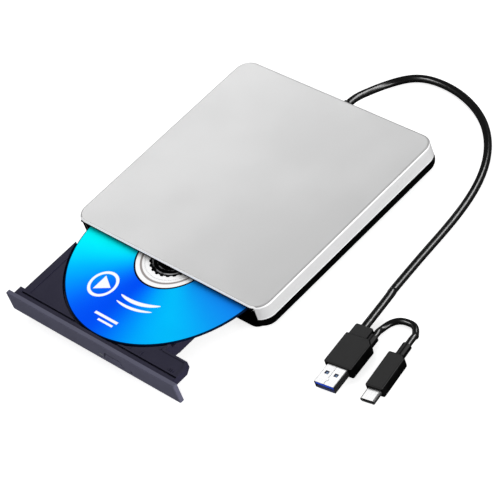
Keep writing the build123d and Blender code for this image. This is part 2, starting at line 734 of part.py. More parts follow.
with BuildPart() as traverse_cover:
    with BuildSketch(traverse.offset(sheet_z)):
        Circle(17.6)
        rectangles(53.4, 19.4, (32, 0))
        Circle(15.2, mode=Mode.SUBTRACT)
        rectangles(45, 11.2, (41.5, 0), mode=Mode.SUBTRACT)
    extrude(amount=0.3)
save(traverse_cover, "traverse_cover")

bush_z, damper_head_height = 7.3, 0.65
with BuildPart() as damper_bushes:
    with BuildSketch(traverse.offset(bush_z)):
        with Locations(*DAMPERS):
            Circle(2.2)
            Circle(0.75, mode=Mode.SUBTRACT)
    extrude(amount=1.65)
save(damper_bushes, "damper_bushes")

with BuildPart() as traverse_screws:
    with BuildSketch(traverse.offset(bush_z - damper_head_height)):
        circles(1.6, *DAMPERS)
    extrude(amount=damper_head_height)
    with BuildSketch(traverse.offset(bush_z)):
        circles(0.65, *DAMPERS)
    extrude(amount=2.6)
save(traverse_screws, "traverse_screws")

with BuildPart() as spindle_motor_stator:
    # base disc with three ears under the motor posts
    with BuildSketch(spindle.offset(stator_z)):
        Circle(11.6)
        with PolarLocations(motor_post_radius, 3, start_angle=motor_post_angle - 135):
            Circle(1.6)
    extrude(amount=stator_t)
    # bearing sleeve
    with BuildSketch(spindle.offset(stator_z + stator_t)):
        Circle(2.6)
    extrude(amount=3.0)
    # nine poles
    with BuildSketch(spindle.offset(5.5)):
        with PolarLocations(5.6, 9):
            Rectangle(7.0, 1.6)
        Circle(3.4)
    extrude(amount=1.5)
    # shaft bore
    with BuildSketch(spindle.offset(stator_z + stator_t)):
        Circle(1.02)
    extrude(amount=3.1, mode=Mode.SUBTRACT)
save(spindle_motor_stator, "spindle_motor_stator")

turntable_z = 11.3
# Half section (radius, z): shaft, cup over the stator, turntable flange, nose
rotor_profile = [
    (0, 5.3), (1.0, 5.3), (1.0, 8.8), (9.9, 8.8), (9.9, 5.6), (10.4, 5.6), (10.4, 9.9),
    (14.4, 9.9), (14.4, turntable_z), (7.35, turntable_z), (7.35, 12.75), (6.2, 13.1),
    (0, 13.1),
]
claw_angle = 30             # first of the three spring claws
with BuildPart() as spindle_rotor:
    with BuildSketch(at_y(SPINDLE_Y - OPEN)):
        with BuildLine():
            Polyline(*rotor_profile, close=True)
        make_face()
    revolve(axis=Axis((0, SPINDLE_Y - OPEN, 0), (0, 0, 1)))
    # slots in the nose for the spring claws
    with BuildSketch(spindle.offset(11.5)):
        with PolarLocations(6.0, 3, start_angle=claw_angle):
            Rectangle(3.4, 2.8)
    extrude(amount=2, mode=Mode.SUBTRACT)
    # round recess in the top of the nose
    with BuildSketch(spindle.offset(12.7)):
        Circle(2.6)
    extrude(amount=1, mode=Mode.SUBTRACT)
save(spindle_rotor, "spindle_rotor")

with BuildPart() as turntable_ring:
    with BuildSketch(spindle.offset(turntable_z)):
        Circle(14.0)
        Circle(10.5, mode=Mode.SUBTRACT)
        with PolarLocations(14.2, 24):
            Circle(0.7, mode=Mode.SUBTRACT)
    extrude(amount=DISC_Z - turntable_z)
save(turntable_ring, "turntable_ring")

with BuildPart() as clamp_claws:
    with BuildSketch(spindle.offset(11.55)):
        with PolarLocations(5.85, 3, start_angle=claw_angle):
            Rectangle(2.9, 2.4)
    extrude(amount=1.2)
    # heads that reach over the disc
    with BuildSketch(spindle.offset(DISC_Z + DISC_T + 0.03)):
        with PolarLocations(6.1, 3, start_angle=claw_angle):
            Rectangle(3.4, 2.4)
    extrude(amount=0.45)
    fillet(clamp_claws.faces().group_by(Axis.Z)[-1].edges(), 0.15)
save(clamp_claws, "clamp_claws")

with BuildPart() as disc:
    with BuildSketch(spindle.offset(DISC_Z)):
        Circle(DISC_R)
        Circle(HOLE_R, mode=Mode.SUBTRACT)
    extrude(amount=DISC_T)
    # ring groove round the clamping area
    with BuildSketch(spindle.offset(DISC_Z + DISC_T)):
        Circle(17.2)
        Circle(16.6, mode=Mode.SUBTRACT)
    extrude(amount=-0.15, mode=Mode.SUBTRACT)
    # both edges of the outer rim
    chamfer(disc.edges().filter_by(GeomType.CIRCLE).sort_by(SortBy.RADIUS)[-2:], 0.15)
save(disc, "disc")

with BuildPart() as guide_rods:
    with BuildSketch(along.offset(14.7)):
        circles(ROD_R, *RODS)
    extrude(amount=51.4)
save(guide_rods, "guide_rods")

with BuildPart() as sled_motor:
    with BuildSketch(traverse.offset(4.4)):
        with Locations((15.2, SCREW_CENTRE[0])):
            RectangleRounded(11.6, 4.9, 1.2)
    extrude(amount=2.8)
    with BuildSketch(along.offset(17)):
        circles(0.55, SCREW_CENTRE)
    extrude(amount=5, mode=Mode.SUBTRACT)
save(sled_motor, "sled_motor")

thread_start, thread_pitch, thread_width, thread_count = 22.4, 1.5, 0.8, 27
with BuildPart() as lead_screw:
    with BuildSketch(along.offset(17.5)):
        circles(0.5, SCREW_CENTRE)
    extrude(amount=47.7)
    with BuildSketch(along.offset(22)):
        circles(0.85, SCREW_CENTRE)
    extrude(amount=42.3)
    # the thread is a row of separate rings
    for k in range(thread_count):
        with BuildSketch(along.offset(thread_start + thread_pitch * k)):
            circles(SCREW_R, SCREW_CENTRE)
        extrude(amount=thread_width)
save(lead_screw, "lead_screw")

sled_z, sled_t = 4.75, 2.55
sled_top_z = 8.2
with BuildPart() as pickup_sled:
    with BuildSketch(traverse.offset(sled_z)):
        rectangles(12, 26.2, (LENS_X, 0))
    extrude(amount=sled_t)
    with BuildSketch(traverse.offset(sled_z + sled_t)):
        with Locations((LENS_X, 0)):
            RectangleRounded(10.4, 13.2, 1.2)
    extrude(amount=sled_top_z - sled_z - sled_t)
    # rod bores
    with BuildSketch(along.offset(LENS_X - 7)):
        circles(ROD_R + 0.06, *RODS)
    extrude(amount=14, mode=Mode.SUBTRACT)
    # arm that engages the lead screw
    with BuildSketch(traverse.offset(5.0)):
        rectangles(3.6, 3.8, (LENS_X, 14.4))
    extrude(amount=1.3)
    # recess under the lens holder
    with BuildSketch(traverse.offset(sled_top_z)):
        rectangles(8.2, 10.8, (LENS_X, 0))
    extrude(amount=-0.5, mode=Mode.SUBTRACT)
save(pickup_sled, "pickup_sled")

holder_z, holder_t = 8.65, 0.85
lens_r = 2.2
with BuildPart() as lens_holder:
    with BuildSketch(traverse.offset(holder_z)):
        with Locations((LENS_X, 0)):
            RectangleRounded(5.6, 9.8, 1.4)
    extrude(amount=holder_t)
    with BuildSketch(traverse.offset(holder_z + holder_t)):
        circles(2.6, (LENS_X, 0))
    extrude(amount=0.3)
    with BuildSketch(traverse.offset(holder_z)):
        circles(lens_r, (LENS_X, 0))
    extrude(amount=1.5, mode=Mode.SUBTRACT)
save(lens_holder, "lens_holder")

with BuildPart() as objective_lens:
    with BuildSketch(traverse.offset(8.9)):
        circles(lens_r, (LENS_X, 0))
    extrude(amount=1.2)
    fillet(objective_lens.faces().sort_by(Axis.Z)[-1].edges(), 0.55)
save(objective_lens, "objective_lens")


# ============================ latch and ejector ==============================
latch_angle = radians(-12)
latch = Plane(origin=(LATCH_PIVOT[0], LATCH_PIVOT[1] - OPEN, 0),
              x_dir=(cos(latch_angle), sin(latch_angle), 0), z_dir=(0, 0, 1))
lever_z, lever_t = 2.9, 0.8
hook_outline = [(0.6, 9.3), (0.6, 10.8), (-2.6, 10.8), (-5.3, 9.9), (-5.3, 9.3)]

with BuildPart() as latch_lever:
    # hub, long arm, short arm and hook
    with BuildSketch(latch.offset(lever_z)):
        Circle(1.6)
        rectangles(1.6, 10.0, (-0.2, 5.0))
        rectangles(5.0, 1.6, (-2.5, -0.6))
        with BuildLine():
            Polyline(*hook_outline, close=True)
        make_face()
    extrude(amount=lever_t)
    # taller hub and a block at the end of the short arm
    with BuildSketch(latch.offset(lever_z + lever_t)):
        Circle(1.5)
    extrude(amount=1.0)
    with BuildSketch(latch.offset(lever_z + lever_t)):
        rectangles(2.2, 1.6, (-3.9, -0.6))
    extrude(amount=1.7)
    # pivot bore
    with BuildSketch(latch.offset(lever_z)):
        Circle(0.86)
    extrude(amount=2, mode=Mode.SUBTRACT)
save(latch_lever, "latch_lever")

spring_z, wire = 3.85, 0.4
with BuildPart() as latch_spring:
    # coil and its leg, then the link between them
    with BuildSketch(tray.offset(spring_z)):
        with Locations(LATCH_PIVOT):
            Circle(2.1)
            Circle(1.7, mode=Mode.SUBTRACT)
        rectangles(4.6, wire, (37.4, -58.2))
    extrude(amount=wire)
    with BuildSketch(tray.offset(spring_z)):
        rectangles(0.5, 1.6, (35.4, -58.9))
    extrude(amount=wire)
save(latch_spring, "latch_spring")

with BuildPart() as latch_solenoid:
    with BuildSketch(tray.offset(4.4)):
        with Locations((23.2, -53.8)):
            RectangleRounded(7.4, 9.4, 0.6)
    extrude(amount=4.2)
    # plunger on the right
    with BuildSketch(at_x(26.8)):
        circles(0.7, (-56 - OPEN, 6.4))
    extrude(amount=1.2)
save(latch_solenoid, "latch_solenoid")

with BuildPart() as ejector_housing:
    with BuildSketch(tray.offset(5.95)):
        rectangles(4.6, 7.6, (EJECTOR[0], 48.6))
    extrude(amount=2.95)
    with BuildSketch(at_y(53 - OPEN)):
        circles(1.25, EJECTOR)
    extrude(amount=7.2, mode=Mode.SUBTRACT)
save(ejector_housing, "ejector_housing")

rod_tip_y, rod_length = 58.4 - OPEN, 7.6
with BuildPart() as ejector_rod:
    with BuildSketch(at_y(rod_tip_y)):
        circles(0.85, EJECTOR)
    extrude(amount=rod_length)
    # collar at the front end
    with BuildSketch(at_y(rod_tip_y - rod_length)):
        circles(1.15, EJECTOR)
    extrude(amount=0.8)
save(ejector_rod, "ejector_rod")

spring_y, spring_r = 49.9 - OPEN, 1.1
coil_count, coil_pitch = 6, 0.6
with BuildPart() as ejector_spring:
    with BuildSketch(at_y(spring_y)):
        with Locations(EJECTOR):
            Circle(spring_r)
            Circle(0.7, mode=Mode.SUBTRACT)
    extrude(amount=coil_count * coil_pitch)
    # grooves that mark the coils
    for k in range(coil_count):
        with BuildSketch(at_y(spring_y - 0.25 - coil_pitch * k)):
            with Locations(EJECTOR):
                Circle(spring_r)
                Circle(0.95, mode=Mode.SUBTRACT)
        extrude(amount=0.3, mode=Mode.SUBTRACT)
save(ejector_spring, "ejector_spring")


# ============================ rear electronics ===============================
connector_x = -34           # middle of the plug and socket between drive and adapter
connector_z = 6.2           # height of the tongue and its slot
connector_width = 28.4
connector_board_z = 3.5
with BuildPart() as connector_board:
    with BuildSketch(at_z(connector_board_z)):
        rectangles(44, 3.9, (-28, 56.75))
    extrude(amount=0.9)
    # ribbon socket underneath
    with BuildSketch(at_z(connector_board_z - socket_height)):
        rectangles(25, 2.2, (-18, 56.2))
    extrude(amount=socket_height)
save(connector_board, "connector_board")

with BuildPart() as sata_plug:
    with BuildSketch(at_z(4.45)):
        rectangles(connector_width, 3.8, (connector_x, 59.1))
    extrude(amount=3.2)
    with BuildSketch(at_y(61.0)):
        rectangles(26.4, 1.4, (connector_x, connector_z))
    extrude(amount=1.6, mode=Mode.SUBTRACT)
save(sata_plug, "sata_plug")

adapter_t = 1.0
adapter_top_z = pillar_top + adapter_t
with BuildPart() as adapter_board:
    with BuildSketch(at_z(pillar_top)):
        rectangles(82, 4.4, (-11, 62.5))
        circles(0.75, *ADAPTER_SCREWS, mode=Mode.SUBTRACT)
    extrude(amount=adapter_t)
save(adapter_board, "adapter_board")

with BuildPart() as adapter_socket:
    with BuildSketch(at_z(adapter_top_z)):
        rectangles(connector_width, 3.5, (connector_x, 62.85))
    extrude(amount=3.6)
    # tongue towards the plug
    with BuildSketch(at_y(61.1)):
        rectangles(26.0, 1.0, (connector_x, connector_z))
    extrude(amount=1.2)
save(adapter_socket, "adapter_socket")

with BuildPart() as adapter_parts:
    # block the cable wires are crimped into
    with BuildSketch(at_z(adapter_top_z)):
        rectangles(8, 2.5, (EXIT[0], 61.7))
    extrude(amount=5.0)
    # chips
    with BuildSketch(at_z(adapter_top_z)):
        rectangles(4, 4, (10, 62.5))
        rectangles(2.6, 3, (16, 62.5), (27, 62.5))
        rectangles(1.6, 0.8, (5.6, 61.5), (5.6, 63.5))
    extrude(amount=1.0)
save(adapter_parts, "adapter_parts")

with BuildPart() as adapter_screws:
    with BuildSketch(at_z(adapter_top_z)):
        circles(1.35, *ADAPTER_SCREWS)
    extrude(amount=0.8)
    with BuildSketch(at_z(adapter_top_z)):
        circles(0.65, *ADAPTER_SCREWS)
    extrude(amount=-2.1)
save(adapter_screws, "adapter_screws")


# ============================ cable ==========================================
def across_plug(plug, x, y, z=0):
    """Plane across a plug at a local point, facing back along the cable."""
    return Plane(origin=plug.from_local_coords((x, y, z)), x_dir=plug.x_dir, z_dir=plug.y_dir)


# Plug frames: origin at mid height of the overmould's front face,
# local +Y runs back along the cable
USB_A_HEIGHT, USB_C_HEIGHT = 6.8, 6.2
usb_a = Plane(origin=(119.9, -67.7, GROUND_Z + USB_A_HEIGHT / 2),
              x_dir=(0.9912, 0.1323, 0), z_dir=(0, 0, 1))
usb_c = Plane(origin=(144.6, -68.6, GROUND_Z + USB_C_HEIGHT / 2),
              x_dir=(0.9848, 0.1736, 0), z_dir=(0, 0, 1))
cable_x = -3.5              # main cable, local to the USB-A plug
lead_x, lead_z = 4.4, -0.3  # short lead, local to the USB-A plug

collar_y, neck_y, tail_y = 63.8, 65.4, 68.6     # front ends of the three steps
with BuildPart() as strain_relief:
    # rectangular collar inside the case
    with BuildSketch(at_y(collar_y)):
        rectangles(8.4, 5.4, EXIT)
    extrude(amount=collar_y - neck_y)
    # neck through the notch, then the tapered tail
    with BuildSketch(at_y(neck_y)):
        circles(3.22, EXIT)
    extrude(amount=neck_y - tail_y)
    with BuildSketch(at_y(tail_y)):
        circles(3.0, EXIT)
    extrude(amount=-3.4, taper=6)
    # groove round the tail
    with BuildSketch(at_y(69.6)):
        with Locations(EXIT):
            Circle(3.2)
            Circle(2.55, mode=Mode.SUBTRACT)
    extrude(amount=-0.6, mode=Mode.SUBTRACT)
    with BuildSketch(at_y(63)):
        circles(CABLE_R + BORE_GAP, EXIT)
    extrude(amount=-14, mode=Mode.SUBTRACT)
save(strain_relief, "strain_relief")

cable_start = (EXIT[0], 63.1, EXIT[1])
cable_z = GROUND_Z + CABLE_R                # centre line of the cable on the ground
cable_points = [
    (1.1, 84.0, 5.2), (4.7, 98.0, 1.5), (13.5, 107.6, cable_z), (31.1, 111.4, cable_z),
    (53.2, 107.5, cable_z), (73.6, 96.8, cable_z), (90.3, 78.2, cable_z),
    (99.5, 56.5, cable_z), (103.7, 32.0, cable_z), (105.8, 6.0, cable_z),
    (108.1, -16.0, cable_z + 0.1), usb_a.from_local_coords((cable_x, 28.4, 0)),
]
with BuildPart() as main_cable:
    with BuildLine():
        exit_run = Line(cable_start, (EXIT[0], 72.6, EXIT[1]))
        loop = Spline(exit_run @ 1, *cable_points, tangents=[(0, 1, 0), -usb_a.y_dir])
        Line(loop @ 1, usb_a.from_local_coords((cable_x, 24.8, 0)))
    with BuildSketch(Plane(origin=cable_start, x_dir=(1, 0, 0), z_dir=(0, 1, 0))):
        Circle(CABLE_R)
    sweep()
save(main_cable, "main_cable")


# ============================ USB-A plug =====================================
usb_a_outline = [(-8.2, 0), (8.2, 0), (8.2, 17.4), (5.8, 20.0), (-8.2, 20.0)]

with BuildPart() as usb_a_housing:
    with BuildSketch(usb_a.offset(-USB_A_HEIGHT / 2)):
        with BuildLine():
            Polyline(*usb_a_outline, close=True)
        make_face()
    extrude(amount=USB_A_HEIGHT)
    fillet(usb_a_housing.edges().filter_by(Axis.Z), 0.9)
    fillet(usb_a_housing.faces().sort_by(Axis.Z)[-1].edges(), 0.6)
    fillet(usb_a_housing.faces().sort_by(Axis.Z)[0].edges(), 0.6)
    # rear block holding the main cable
    with BuildSketch(usb_a.offset(-3.0)):
        with Locations((-1.6, 22.9)):
            RectangleRounded(10.4, 7.4, 0.9)
    extrude(amount=6.0)
    # sleeve of the short lead
    with BuildSketch(across_plug(usb_a, lead_x, 18.6, lead_z)):
        Circle(2.7)
    extrude(amount=5.5)
    # cable bores
    with BuildSketch(across_plug(usb_a, cable_x, 24.7)):
        Circle(CABLE_R + BORE_GAP)
    extrude(amount=3, mode=Mode.SUBTRACT)
    with BuildSketch(across_plug(usb_a, lead_x, 21.1, lead_z)):
        Circle(LEAD_R + BORE_GAP)
    extrude(amount=7, mode=Mode.SUBTRACT)
    # pocket that takes the metal shell
    with BuildSketch(across_plug(usb_a, 0, -0.1)):
        Rectangle(12.1, 4.6)
    extrude(amount=5.1, mode=Mode.SUBTRACT)
save(usb_a_housing, "usb_a_housing")

# Folded seam in local (x, y): a thin line with one dovetail jog to the right
seam_outline = [
    (-0.13, -12.3), (0.13, -12.3), (0.13, -9.7), (0.95, -9.2), (0.95, -8.0), (0.13, -7.5),
    (0.13, 0.2), (-0.13, 0.2), (-0.13, -7.65), (0.69, -8.15), (0.69, -9.05), (-0.13, -9.55),
]
with BuildPart() as usb_a_shell:
    with BuildSketch(across_plug(usb_a, 0, -11.75)):
        RectangleRounded(12.0, 4.5, 0.5)
        RectangleRounded(11.4, 3.9, 0.3, mode=Mode.SUBTRACT)
    extrude(amount=16.6)
    # two windows, through top and bottom
    with BuildSketch(usb_a.offset(-4)):
        rectangles(2.3, 2.0, *pair(2.75, -4.9))
    extrude(amount=8, mode=Mode.SUBTRACT)
    # seam on top
    with BuildSketch(usb_a.offset(2.1)):
        with BuildLine():
            Polyline(*seam_outline, close=True)
        make_face()
    extrude(amount=0.3, mode=Mode.SUBTRACT)
save(usb_a_shell, "usb_a_shell")

tongue_z = 0.15             # underside of the tongue, where the contacts lie
with BuildPart() as usb_a_insert:
    with BuildSketch(usb_a.offset(tongue_z)):
        rectangles(11.2, 16.2, (0, -3.35))
    extrude(amount=1.7)
    with BuildSketch(usb_a.offset(-1.85)):
        rectangles(11.2, 4.2, (0, 2.6))
    extrude(amount=2.1)
save(usb_a_insert, "usb_a_insert")

with BuildPart() as usb_a_contacts:
    with BuildSketch(usb_a.offset(tongue_z)):
        rectangles(1.0, 8.6, *[(x, -6.2) for x in (-3.5, -1.0, 1.0, 3.5)])
    extrude(amount=-0.12)
save(usb_a_contacts, "usb_a_contacts")


# ============================ short lead and USB-C plug ======================
ground_z = GROUND_Z + LEAD_R                # centre line of the lead on the ground
lead_points = [
    (120.2, -37.4, ground_z + 0.6), (120.9, -32.2, ground_z), (124.0, -28.2, ground_z),
    (129.0, -26.7, ground_z), (134.4, -27.8, ground_z), (137.7, -31.6, ground_z + 0.1),
    usb_c.from_local_coords((0, 30.9, 0)),
]
with BuildPart() as pigtail_cable:
    with BuildLine():
        lead_exit = Line(usb_a.from_local_coords((lead_x, 21.2, lead_z)),
                         usb_a.from_local_coords((lead_x, 26.8, lead_z)))
        bend = Spline(lead_exit @ 1, *lead_points, tangents=[usb_a.y_dir, -usb_c.y_dir])
        Line(bend @ 1, usb_c.from_local_coords((0, 27.2, 0)))
    with BuildSketch(across_plug(usb_a, lead_x, 21.2, lead_z)):
        Circle(LEAD_R)
    sweep()
save(pigtail_cable, "pigtail_cable")

usb_c_outline = [(-5.0, 0), (5.0, 0), (5.0, 20.6), (3.2, 22.5), (-5.0, 22.5)]
with BuildPart() as usb_c_housing:
    with BuildSketch(usb_c.offset(-USB_C_HEIGHT / 2)):
        with BuildLine():
            Polyline(*usb_c_outline, close=True)
        make_face()
    extrude(amount=USB_C_HEIGHT)
    fillet(usb_c_housing.edges().filter_by(Axis.Z), 0.9)
    fillet(usb_c_housing.faces().sort_by(Axis.Z)[-1].edges(), 0.7)
    fillet(usb_c_housing.faces().sort_by(Axis.Z)[0].edges(), 0.7)
    # sleeve of the lead and its bore
    with BuildSketch(across_plug(usb_c, 0, 22.0)):
        Circle(2.5)
    extrude(amount=8.0)
    with BuildSketch(across_plug(usb_c, 0, 27.1)):
        Circle(LEAD_R + BORE_GAP)
    extrude(amount=4, mode=Mode.SUBTRACT)
    # pocket that takes the metal shell
    with BuildSketch(across_plug(usb_c, 0, -0.1)):
        SlotOverall(8.44, 2.66)
    extrude(amount=4.1, mode=Mode.SUBTRACT)
save(usb_c_housing, "usb_c_housing")

with BuildPart() as usb_c_shell:
    with BuildSketch(across_plug(usb_c, 0, -6.65)):
        SlotOverall(8.34, 2.56)
        SlotOverall(7.8, 2.02, mode=Mode.SUBTRACT)
    extrude(amount=10.5)
save(usb_c_shell, "usb_c_shell")

with BuildPart() as usb_c_insert:
    with BuildSketch(across_plug(usb_c, 0, -6.3)):
        SlotOverall(7.76, 1.98)
    extrude(amount=10.0)
    # slot in the front end
    with BuildSketch(across_plug(usb_c, 0, -6.4)):
        Rectangle(6.2, 0.9)
    extrude(amount=6.0, mode=Mode.SUBTRACT)
save(usb_c_insert, "usb_c_insert")
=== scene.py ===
"""External disc drive: a silver shell with its tray out, a printed disc, and a cable ending in a plug.

The shell is centred on the origin in x and y. The tray slides out at the front, towards -y, the
plug lies off the +x side, and +z is up. All lengths are in metres and colours are linear.
"""
import json
import math

import bmesh
import bpy
from mathutils import Matrix, Vector

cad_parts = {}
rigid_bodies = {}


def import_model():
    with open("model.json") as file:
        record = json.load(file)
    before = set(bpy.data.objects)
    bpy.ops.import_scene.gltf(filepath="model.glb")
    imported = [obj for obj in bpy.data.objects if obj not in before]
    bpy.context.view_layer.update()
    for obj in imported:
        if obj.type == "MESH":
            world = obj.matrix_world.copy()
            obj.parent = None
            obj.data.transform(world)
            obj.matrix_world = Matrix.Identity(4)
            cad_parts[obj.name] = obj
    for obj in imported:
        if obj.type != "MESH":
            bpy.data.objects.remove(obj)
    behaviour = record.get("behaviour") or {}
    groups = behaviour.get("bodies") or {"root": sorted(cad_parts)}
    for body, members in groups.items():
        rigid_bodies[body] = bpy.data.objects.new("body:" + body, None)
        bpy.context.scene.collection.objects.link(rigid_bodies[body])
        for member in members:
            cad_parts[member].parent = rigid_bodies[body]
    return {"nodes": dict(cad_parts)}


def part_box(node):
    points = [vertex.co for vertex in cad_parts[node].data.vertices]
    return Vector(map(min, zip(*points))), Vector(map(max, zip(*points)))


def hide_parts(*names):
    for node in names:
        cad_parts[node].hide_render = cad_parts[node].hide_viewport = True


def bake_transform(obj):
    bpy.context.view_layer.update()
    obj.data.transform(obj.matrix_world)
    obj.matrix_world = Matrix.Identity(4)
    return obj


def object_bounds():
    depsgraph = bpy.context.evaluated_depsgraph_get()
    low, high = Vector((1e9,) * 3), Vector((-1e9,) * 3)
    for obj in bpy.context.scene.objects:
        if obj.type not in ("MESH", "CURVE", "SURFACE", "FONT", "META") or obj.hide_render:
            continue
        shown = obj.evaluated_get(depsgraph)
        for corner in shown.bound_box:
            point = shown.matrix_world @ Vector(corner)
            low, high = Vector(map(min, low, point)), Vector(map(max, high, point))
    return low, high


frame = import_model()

CAD_BOX = [list(v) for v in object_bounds()]

# places shared by several finishes
HUB = (0.0, -0.0587)                # x, y of the disc's axis
PLUG_PLACE = (0.1199, -0.0677)      # x, y of the origin of the plug's own axes
PLUG_ACROSS = (0.9912, 0.1323)      # x, y direction across the plug


# --------------------------------------------------------------------------
# colours and ranges
# --------------------------------------------------------------------------
MIDDLE = (0.3, 0.7)     # the part of a noise's range where most of its values fall
FULL = (0.0, 1.0)


def srgb(*channels):
    """sRGB 0-255 to linear."""
    out = []
    for value in channels:
        value /= 255.0
        out.append(value / 12.92 if value <= 0.04045 else ((value + 0.055) / 1.055) ** 2.4)
    return tuple(out)


def grey(value, blue=None):
    """A grey, or a near-grey with its own blue value."""
    return (value, value, value if blue is None else blue)


def shade(color, by, lift=0.0):
    return tuple(min(1, c * by + lift) for c in color)


def around(centre, spread):
    return (centre - spread, centre + spread)


# --------------------------------------------------------------------------
# node-tree helper
# --------------------------------------------------------------------------
PRINCIPLED_INPUTS = {
    "base": "Base Color", "metal": "Metallic", "rough": "Roughness",
    "spec": "Specular IOR Level", "ior": "IOR", "normal": "Normal",
    "coat": "Coat Weight", "coat_rough": "Coat Roughness", "coat_normal": "Coat Normal",
    "sheen": "Sheen Weight", "sheen_rough": "Sheen Roughness", "trans": "Transmission Weight",
    "emit": "Emission Color", "emit_strength": "Emission Strength", "aniso": "Anisotropic",
    "film": "Thin Film Thickness", "film_ior": "Thin Film IOR",
}


class Finish:
    """A principled material built from procedural nodes in object space."""

    def __init__(self, name):
        self.material = bpy.data.materials.new(name)
        self.material.use_nodes = True
        self.tree = self.material.node_tree
        self.tree.nodes.clear()
        output = self.node("ShaderNodeOutputMaterial")
        self.shader = self.node("ShaderNodeBsdfPrincipled")
        self.put(output, "Surface", self.shader.outputs["BSDF"])
        self.place = self.node("ShaderNodeTexCoord").outputs["Object"]

    def put(self, node, key, value):
        """Link a socket to an input, or store a plain value in it."""
        socket = node.inputs[key]
        if isinstance(value, bpy.types.NodeSocket):
            self.tree.links.new(value, socket)
        elif socket.type == "RGBA":
            socket.default_value = (*value, 1.0)
        else:
            socket.default_value = value

    def node(self, kind, inputs=None, **properties):
        node = self.tree.nodes.new(kind)
        for key, value in properties.items():
            setattr(node, key, value)
        for key, value in (inputs or {}).items():
            self.put(node, key, value)
        return node

    def set(self, **values):
        """Fill the shader's inputs and hand back the material."""
        for key, value in values.items():
            self.put(self.shader, PRINCIPLED_INPUTS[key], value)
        return self.material

    # coordinates
    def mapping(self, vector=None, scale=(1, 1, 1), rot=(0, 0, 0), loc=(0, 0, 0)):
        inputs = {"Vector": vector or self.place, "Scale": scale, "Rotation": rot, "Location": loc}
        return self.node("ShaderNodeMapping", inputs).outputs["Vector"]

    def split(self, vector=None):
        return tuple(self.node("ShaderNodeSeparateXYZ", {0: vector or self.place}).outputs)

    def centred(self, centre):
        """x, y, z measured from a vertical axis at centre."""
        return self.split(self.mapping(loc=(-centre[0], -centre[1], 0)))

    def normal(self, kind="Normal"):
        """x, y, z of the surface normal."""
        return self.split(self.node("ShaderNodeNewGeometry").outputs[kind])

    # patterns; size is about how wide a feature is
    def noise(self, size, detail=2.0, rough=0.5, vector=None):
        inputs = {"Vector": vector or self.place, "Scale": 1.0 / size, "Detail": detail,
                  "Roughness": rough}
        return self.node("ShaderNodeTexNoise", inputs).outputs["Fac"]

    def voronoi(self, size):
        inputs = {"Vector": self.place, "Scale": 1.0 / size}
        return self.node("ShaderNodeTexVoronoi", inputs).outputs["Distance"]

    def wave(self, size):
        """Plain bands that repeat along x."""
        inputs = {"Vector": self.place, "Scale": 1.0 / size, "Detail": 0.0}
        return self.node("ShaderNodeTexWave", inputs).outputs["Fac"]

    def edge(self, radius):
        """1 on rounded-over edges, 0 on flat faces."""
        bevel = self.node("ShaderNodeBevel", {"Radius": radius}, samples=4)
        geometry = self.node("ShaderNodeNewGeometry")
        dot = self.node("ShaderNodeVectorMath",
                        {0: bevel.outputs[0], 1: geometry.outputs["True Normal"]},
                        operation="DOT_PRODUCT")
        return self.span(dot.outputs["Value"], over=(0.995, 0.86))

    # arithmetic
    def math(self, operation, *operands, clamp=False):
        return self.node("ShaderNodeMath", dict(enumerate(operands)), operation=operation,
                         use_clamp=clamp).outputs[0]

    def mul(self, first, *others):
        for other in others:
            first = self.math("MULTIPLY", first, other)
        return first

    def scaled(self, value, by):
        return self.math("MULTIPLY", value, by)

    def add(self, first, second, clamp=False):
        return self.math("ADD", first, second, clamp=clamp)

    def sub(self, first, second, clamp=False):
        return self.math("SUBTRACT", first, second, clamp=clamp)

    def one_minus(self, value):
        return self.sub(1.0, value)

    def max(self, first, second):
        return self.math("MAXIMUM", first, second)

    def abs(self, value):
        return self.math("ABSOLUTE", value)

    def length(self, x, y):
        return self.math("SQRT", self.add(self.mul(x, x), self.mul(y, y)))

    def span(self, value, over=MIDDLE, to=FULL, linear=False):
        """Remap the range over to the range to, held at both ends."""
        return self.node("ShaderNodeMapRange", dict(enumerate((value, *over, *to))), clamp=True,
                         interpolation_type="LINEAR" if linear else "SMOOTHSTEP").outputs[0]

    # colour and relief
    def mix(self, factor, low, high):
        return self.node("ShaderNodeMix", {0: factor, 6: low, 7: high},
                         data_type="RGBA").outputs[2]

    def ramp(self, factor, stops, interpolation="LINEAR"):
        node = self.node("ShaderNodeValToRGB", {0: factor})
        node.color_ramp.interpolation = interpolation
        elements = node.color_ramp.elements
        while len(elements) < len(stops):
            elements.new(0.5)
        for element, (position, color) in zip(elements, stops):
            element.position = position
            element.color = (*color, 1.0)
        return node.outputs[0]

    def bump(self, height, distance, strength, normal=None):
        inputs = {"Strength": strength, "Distance": distance, "Height": height}
        if normal is not None:
            inputs["Normal"] = normal
        return self.node("ShaderNodeBump", inputs).outputs[0]


